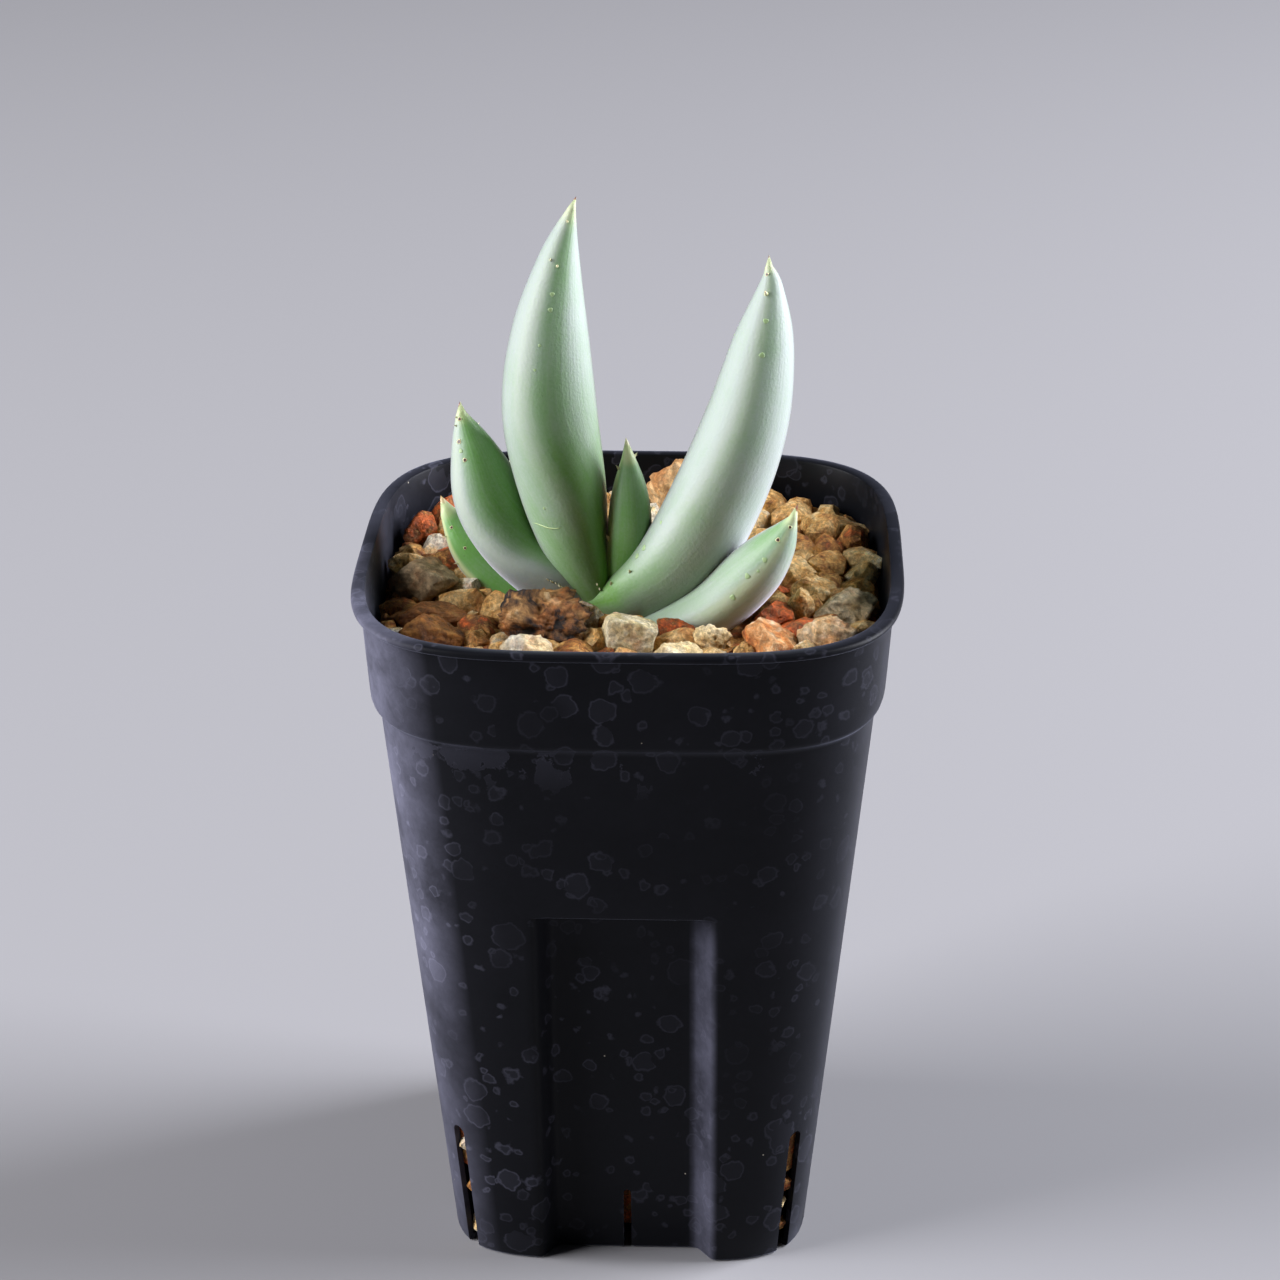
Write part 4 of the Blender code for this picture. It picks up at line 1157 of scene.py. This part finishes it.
def add_horn(bm, shade, root, way, lean, radius, length, flat=None, low=0.1, high=0.6):
    """A small horn that curves the way it leans, painted from low to high. `flat` is where it is thinnest."""
    steps = 6
    sides = 10
    side = way.orthogonal().normalized() if flat is None else flat
    other = way.cross(side).normalized()
    squeeze = 1.0 if flat is None else 0.45
    shares = [step / steps for step in range(steps)]
    rings = []
    for share in shares:
        size = radius * (1 - share) ** 0.8
        middle = root + way * length * share + lean * length * 0.5 * share * share
        rings.append(oval(middle, other * size, side * size * squeeze, sides))
    grown = loft(bm, rings)
    for share, ring in zip(shares, grown):
        for vertex in ring:
            vertex[shade] = low + (high - low) * share
    close_cone(bm, grown[-1], root + way * length + lean * length * 0.5)[shade] = high


def add_blister(bm, shade, name, place, turn, radius, corky):
    """A low round scab: a thin pale rim round a dark corky middle, or a small yellow-green wart."""
    out = skin_normal(name, place, turn)
    middle = skin_point(name, place, turn)
    side = out.orthogonal().normalized()
    other = out.cross(side)
    sides = 14
    steps = ((1.25, -0.2, 0.0), (1.0, 0.05, 0.16), (0.82, 0.14, 0.3), (0.62, 0.16, 1.0))
    rings = []
    for reach, lift, _ in steps:
        points = []
        for i in range(sides):
            angle = 2 * math.pi * i / sides
            size = radius * reach * (1 + 0.12 * math.sin(3 * angle + 40 * place))
            way = side * math.cos(angle) + other * math.sin(angle)
            points.append(middle + way * size + out * radius * lift)
        rings.append(points)
    grown = loft(bm, rings)
    for (_, _, dark), ring in zip(steps, grown):
        for vertex in ring:
            vertex[shade] = dark if corky else min(dark, 0.04)
    close_cone(bm, grown[-1], middle + out * radius * 0.15)[shade] = 1.0 if corky else 0.05


def add_scratch(bm, shade, name, first, last):
    """A thin healed scratch across the skin, from one place and turn to another."""
    steps = 9
    sides = 8
    half_width = 0.14 * MM
    rings = []
    for step in range(steps + 1):
        share = step / steps
        place = first[0] + (last[0] - first[0]) * share + 0.002 * math.sin(7 * share)
        turn = math.radians(first[1] + (last[1] - first[1]) * share)
        out = skin_normal(name, place, turn)
        tangent = leaf_frame(name, place)[1]
        size = half_width * math.sin(math.pi * (0.04 + 0.92 * share))
        rings.append(oval(skin_point(name, place, turn), tangent * size, out * 0.6 * size, sides))
    grown = loft(bm, rings)
    for ring in grown:
        for vertex in ring:
            vertex[shade] = 0.08
    bm.faces.new(grown[-1])


def add_papery_edge(bm, shade, name, degrees, start, end, draw):
    """A torn membrane along the margin at a leaf's base."""
    sunk = 0.25 * MM
    place = start
    turn = math.radians(degrees)
    while place < end:
        out = skin_normal(name, place, turn)
        _, tangent, _, thick, _, _ = leaf_frame(name, place)
        root = skin_point(name, place, turn) - out * sunk
        way = (out + tangent * draw.uniform(-0.5, 0.5)).normalized()
        length = draw.uniform(0.5, 1.1) * MM
        radius = draw.uniform(0.35, 0.55) * MM
        add_horn(bm, shade, root, way, tangent * 0.3, radius, length, thick, 0.25, 0.42)
        place += draw.uniform(0.012, 0.022)


def add_teeth(bm, shade, name):
    stout, upright = STOUT_TEETH.get(name, (1.0, 1.0))
    for places, side in zip(TEETH[name], (1, -1)):
        for place in places:
            middle, tangent, wide, thick, _, half_wide = leaf_frame(name, place)
            size = 0.55 + 0.45 * min(half_wide / TOOTH_FULL_WIDTH, 1)
            root = middle + wide * side * (half_wide - TOOTH_ROOT)
            radius = TOOTH_RADIUS * size * stout
            length = TOOTH_LENGTH * size
            add_horn(bm, shade, root, wide * side, tangent * upright, radius, length, thick, 0.2, 0.36)


def add_marks(bm, shade, name):
    sunk = 0.15 * MM
    for kind, place, degrees, size in MARKS[name]:
        turn = math.radians(degrees)
        radius = size * MM
        if kind == "thorn":
            out = skin_normal(name, place, turn)
            root = skin_point(name, place, turn) - out * sunk
            tangent = leaf_frame(name, place)[1]
            add_horn(bm, shade, root, out, tangent, radius, 2.4 * radius, high=0.5)
        else:
            add_blister(bm, shade, name, place, turn, radius, kind == "ring")


def add_spine(bm, shade, name):
    neck, _, _, _, _, half_wide = leaf_frame(name, 1.0)
    reach = spine_tip(name) - neck
    way = reach.normalized()
    root = neck - way * SPINE_ROOT
    length = reach.length + SPINE_ROOT
    add_horn(bm, shade, root, way, way * 0.0, 0.95 * half_wide, length, low=0.15, high=SPINE_SHADE[name])


def build_leaf(name, skin, horny):
    bm = bmesh.new()
    keys = ("along", "across", "inner", "bloom", "yellow", "horn")
    paint = {key: bm.verts.layers.float.new(key) for key in keys}
    shade = paint["horn"]
    add_leaf_skin(bm, name, paint)
    body = set(bm.faces)
    add_teeth(bm, shade, name)
    add_marks(bm, shade, name)
    draw = random.Random(name)
    for leaf, *span in PAPERY_EDGES:
        if leaf == name:
            add_papery_edge(bm, shade, name, *span, draw)
    if name == SCRATCH[0]:
        add_scratch(bm, shade, *SCRATCH)
    add_spine(bm, shade, name)
    added = [face for face in bm.faces if face not in body]
    for face in added:
        face.material_index = 1
    bmesh.ops.recalc_face_normals(bm, faces=added)
    finish_piece(name.replace("leaf_", "aloe_leaf_"), bm, [skin, horny], [name])


def waxy_skin(settings):
    """Living aloe skin under a powdery wax bloom: IOR about 1.45, satin where it is bare and nearly matt
    under the wax, which scatters light that grazes it. Its veins run lengthwise about 0.8 mm apart."""
    material, node, shader = new_material("aloe skin with wax bloom")
    names = ("along", "across", "inner", "bloom", "yellow")
    along, across, inner, bloom, yellow = (node(PAINTED, (), "Fac", attribute_name=name) for name in names)
    place = node(PLACE, (), "Object")
    strip = node("ShaderNodeCombineXYZ", (across, along, inner))
    drawn_out = node("ShaderNodeMapping", {"Vector": strip, "Scale": (11.0, 1.6, 3.0)})
    veins = node(NOISE, {"Vector": drawn_out, "Scale": 1.0, "Detail": 3.0, "Roughness": 0.6})
    cloud = node(NOISE, {"Vector": place, "Scale": 150.0, "Detail": 4.0})
    powder = node(NOISE, {"Vector": place, "Scale": 2100.0, "Detail": 3.0})
    uneven = 0.0
    for pattern, swing in ((cloud, 0.10), (veins, 0.08), (powder, 0.06)):
        change = node(SPAN, (pattern, 0.3, 0.7, -swing, swing))
        uneven = node(MATH, (uneven, change), operation="ADD")
    # The bloom read here carries painted shade and painted light as well as the wax
    wax = node(MATH, (bloom, uneven), operation="ADD", use_clamp=True)
    edge = node(MATH, (yellow, 0.85), operation="MULTIPLY", use_clamp=True)
    coats = (
        (node(SPAN, (along, 0.0, 0.6)), (*settings.skin_green, 1.0)),
        (wax, (*settings.wax, 1.0)),
        (edge, (*settings.edge_yellow, 1.0)),
        (specks(node, place, 360.0, (0.78, 0.80), (0.035, 0.065), 0.35), linear("#4d5a3c")),
    )
    colour = (*settings.base_green, 1.0)
    for amount, coat in coats:
        pair = {"Factor_Float": amount, "A_Color": colour, "B_Color": coat}
        colour = node(MIX, pair, "Result_Color", data_type="RGBA")
    relief = node(MATH, (veins, powder), operation="ADD")
    finish = {
        "Base Color": colour,
        "Roughness": node(SPAN, (wax, 0.0, 1.0, 0.38, 0.55)),
        "Normal": node(BUMP, {"Height": relief, "Strength": 0.45, "Distance": 0.12 * MM}, "Normal"),
        "IOR": 1.45,
        "Sheen Weight": 1.0,
        "Sheen Roughness": 0.36,
        "Sheen Tint": linear("#f4ecff"),
        "Subsurface Weight": 0.10,
        "Subsurface Radius": (0.7, 1.0, 0.35),
        "Subsurface Scale": 1.4 * MM,
    }
    set_inputs(shader, finish)
    return material


def tooth_horn():
    """The horny teeth, spines and corky scabs: yellow-green at the root, then straw, then red-brown at
    the point, satin, IOR about 1.5."""
    material, node, shader = new_material("aloe tooth horn")
    share = node(PAINTED, (), "Fac", attribute_name="horn")
    shades = (
        (0.0, "#9dbf8e"),
        (0.14, "#c4d486"),
        (0.3, "#ece8c0"),
        (0.55, "#e0c08a"),
        (0.8, "#a4603c"),
        (1.0, "#38221a"),
    )
    colour = node(RAMP, (share,), "Color", stops=shades)
    set_inputs(shader, {"Base Color": colour, "Roughness": 0.4, "Transmission Weight": 0.25})
    return material


def build_leaves(settings):
    skin = waxy_skin(settings)
    horny = tooth_horn()
    for name in LEAVES:
        build_leaf(name, skin, horny)


def green_bark():
    """The young stem's living skin, fibrous lengthwise and matt."""
    material, node, shader = new_material("green aloe stem")
    place = node(PLACE, (), "Object")
    fibre = node(NOISE, {"Vector": place, "Scale": 500.0, "Detail": 4.0})
    finish = {
        "Base Color": node(RAMP, (fibre,), "Color", stops=((0.3, "#6f7f4c"), (0.7, "#a3ab78"))),
        "Normal": node(BUMP, {"Height": fibre, "Strength": 0.4, "Distance": 0.2 * MM}, "Normal"),
        "Roughness": 0.6,
    }
    set_inputs(shader, finish)
    return material


def build_stem():
    """The short stem, hidden among the leaf bases."""
    low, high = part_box("stem")
    bm = bmesh.new()
    middle = (low + high) / 2
    steps = 12
    sides = 32
    rings = []
    for step in range(steps + 1):
        share = step / steps
        size = (high.x - low.x) / 2 * (1 - 0.2 * share + 0.03 * math.sin(share * 5 * math.pi))
        centre = Vector((middle.x, middle.y, low.z + (high.z - low.z) * share))
        rings.append(oval(centre, Vector((size, 0, 0)), Vector((0, size, 0)), sides))
    bm.faces.new(loft(bm, rings)[-1])
    bmesh.ops.recalc_face_normals(bm, faces=bm.faces)
    finish_piece("aloe_stem", bm, [green_bark()], ["stem"])


# Stage


def area_light(name, azimuth, width, height, power, shade):
    """An upright soft box that stands on the floor. Azimuth 0 is the camera's side, 90 the plant's left."""
    distance = 1.6
    lamp = bpy.data.lights.new(name, "AREA")
    lamp.shape = "RECTANGLE"
    lamp.size = width
    lamp.size_y = height
    lamp.energy = power
    lamp.color = linear(shade)[:3]
    made = bpy.data.objects.new(name, lamp)
    made.location = (-distance * math.sin(azimuth), -distance * math.cos(azimuth), height / 2)
    made.rotation_mode = "QUATERNION"
    made.rotation_quaternion = (Vector((0, 0, height / 2)) - made.location).to_track_quat("-Z", "Y")
    bpy.context.scene.collection.objects.link(made)


def build_camera():
    """A camera at the photograph's viewing angle."""
    data = bpy.data.cameras.new("camera")
    data.sensor_width = CAMERA_SENSOR
    data.lens = CAMERA_LENS
    data.clip_start = 0.01
    data.clip_end = 30.0
    camera = bpy.data.objects.new("camera", data)
    forward = CAMERA_AIM.normalized()
    level = CAMERA_LEVEL.normalized()
    upright = level.cross(forward).normalized()
    roll = math.radians(CAMERA_ROLL)
    right = level * math.cos(roll) - upright * math.sin(roll)
    up = level * math.sin(roll) + upright * math.cos(roll)
    axes = Matrix((right, up, -forward)).transposed()
    camera.matrix_world = Matrix.Translation(CAMERA_PLACE) @ axes.to_4x4()
    bpy.context.scene.collection.objects.link(camera)
    bpy.context.scene.camera = camera


def build_stage(settings):
    # The floor lies a little below the foot, so that their faces don't share a plane
    drop = 0.05 * MM
    bm = bmesh.new()
    bmesh.ops.create_grid(bm, x_segments=1, y_segments=1, size=8.0)
    bmesh.ops.translate(bm, verts=bm.verts, vec=(0, 0, -drop))
    material, _, shader = new_material("matt pale floor")
    set_inputs(shader, {"Base Color": (*settings.floor, 1.0), "Roughness": 0.9, "Specular IOR Level": 0.1})
    floor = add_object("floor", bm, [material])

    area_light("left window", settings.left_azimuth, 1.1, 2.1, settings.left_power, "#f9f9ff")
    area_light("right window", -settings.right_azimuth, 1.0, 1.8, settings.right_power, "#f4f6ff")

    world = bpy.data.worlds.new("dim room")
    world.use_nodes = True
    room = {"Color": linear("#c2c3cb"), "Strength": settings.room_light}
    set_inputs(world.node_tree.nodes["Background"], room)
    bpy.context.scene.world = world
    bpy.context.scene.view_settings.view_transform = "Standard"
    build_camera()


# Settings, operators and panel


def colour_setting(name, description, shade):
    return bpy.props.FloatVectorProperty(
        name=name, description=description, subtype="COLOR", size=3, default=linear(shade)[:3]
    )


class PotSettings(bpy.types.PropertyGroup):
    plastic: colour_setting("Plastic", "Colour of the clean plastic", "#0b0c0f")
    wall: bpy.props.FloatProperty(
        name="Wall", description="Thickness of the pot's wall", unit="LENGTH", default=0.9 * MM, precision=5
    )
    gloss: bpy.props.FloatProperty(
        name="Roughness", description="Roughness of the clean plastic", subtype="FACTOR", default=0.42
    )
    # This also scales the water film, which is partly painted highlight
    stain: bpy.props.FloatProperty(
        name="Water stains", description="How strongly the dried water shows", subtype="FACTOR", default=0.14
    )


class GritSettings(bpy.types.PropertyGroup):
    seed: bpy.props.IntProperty(name="Seed", description="Changes how the pebbles fall", default=7)


class LeafSettings(bpy.types.PropertyGroup):
    wax: colour_setting("Wax", "Colour of the waxy bloom", "#a0aca2")
    skin_green: colour_setting("Skin", "Colour of the bare skin higher up a leaf", "#649848")
    base_green: colour_setting("Leaf base", "Colour of the bare skin at a leaf's base", "#5f9030")
    edge_yellow: colour_setting("Edges", "Colour of the margins and tips", "#cfd79e")


class StageSettings(bpy.types.PropertyGroup):
    floor: colour_setting("Floor", "Colour of the floor", "#969597")
    left_power: bpy.props.FloatProperty(
        name="Left", description="Power of the light on the left", subtype="POWER", default=90.0
    )
    left_azimuth: bpy.props.FloatProperty(
        name="Left azimuth",
        description="How far left of the camera that light stands",
        subtype="ANGLE",
        default=math.radians(78.0),
    )
    right_power: bpy.props.FloatProperty(
        name="Right", description="Power of the light on the right", subtype="POWER", default=118.0
    )
    right_azimuth: bpy.props.FloatProperty(
        name="Right azimuth",
        description="How far right of the camera that light stands",
        subtype="ANGLE",
        default=math.radians(102.0),
    )
    room_light: bpy.props.FloatProperty(
        name="Room", description="Strength of the room's own light", default=0.02
    )


class ALOE_OT_pot(bpy.types.Operator):
    """Builds the nursery pot"""

    bl_idname = "aloe.pot"
    bl_label = "Nursery pot"

    def execute(self, context):
        build_pot(context.scene.aloe_pot)
        return {"FINISHED"}


class ALOE_OT_grit(bpy.types.Operator):
    """Builds the grit and its pebbles"""

    bl_idname = "aloe.grit"
    bl_label = "Grit"

    def execute(self, context):
        build_grit(context.scene.aloe_grit, context.scene.aloe_pot.wall)
        return {"FINISHED"}


class ALOE_OT_stones(bpy.types.Operator):
    """Builds the larger stones"""

    bl_idname = "aloe.stones"
    bl_label = "Stones"

    def execute(self, context):
        build_stones()
        return {"FINISHED"}


class ALOE_OT_stem(bpy.types.Operator):
    """Builds the stem"""

    bl_idname = "aloe.stem"
    bl_label = "Stem"

    def execute(self, context):
        build_stem()
        return {"FINISHED"}


class ALOE_OT_leaves(bpy.types.Operator):
    """Builds the leaves with their teeth and spines"""

    bl_idname = "aloe.leaves"
    bl_label = "Leaves"

    def execute(self, context):
        build_leaves(context.scene.aloe_leaves)
        return {"FINISHED"}


class ALOE_OT_stage(bpy.types.Operator):
    """Adds the floor, the lights and the camera"""

    bl_idname = "aloe.stage"
    bl_label = "Stage"

    def execute(self, context):
        build_stage(context.scene.aloe_stage)
        return {"FINISHED"}


class ALOE_PT_panel(bpy.types.Panel):
    """Lists the pieces of the potted aloe"""

    bl_idname = "ALOE_PT_panel"
    bl_label = "Potted aloe"
    bl_space_type = "VIEW_3D"
    bl_region_type = "UI"
    bl_category = "Potted aloe"

    def draw(self, context):
        for operator in OPERATORS:
            self.layout.operator(operator.bl_idname)


SETTINGS = {
    "aloe_pot": PotSettings,
    "aloe_grit": GritSettings,
    "aloe_leaves": LeafSettings,
    "aloe_stage": StageSettings,
}
OPERATORS = (ALOE_OT_pot, ALOE_OT_grit, ALOE_OT_stones, ALOE_OT_stem, ALOE_OT_leaves, ALOE_OT_stage)


def register():
    for cls in (*SETTINGS.values(), *OPERATORS, ALOE_PT_panel):
        bpy.utils.register_class(cls)
    for name, cls in SETTINGS.items():
        setattr(bpy.types.Scene, name, bpy.props.PointerProperty(type=cls))


def unregister():
    for name in SETTINGS:
        delattr(bpy.types.Scene, name)
    for cls in (ALOE_PT_panel, *reversed(OPERATORS), *reversed(SETTINGS.values())):
        bpy.utils.unregister_class(cls)


def main():
    register()
    bpy.ops.aloe.pot()
    bpy.ops.aloe.grit()
    bpy.ops.aloe.stones()
    bpy.ops.aloe.stem()
    bpy.ops.aloe.leaves()
    bpy.ops.aloe.stage()


if __name__ == "__main__":
    main()
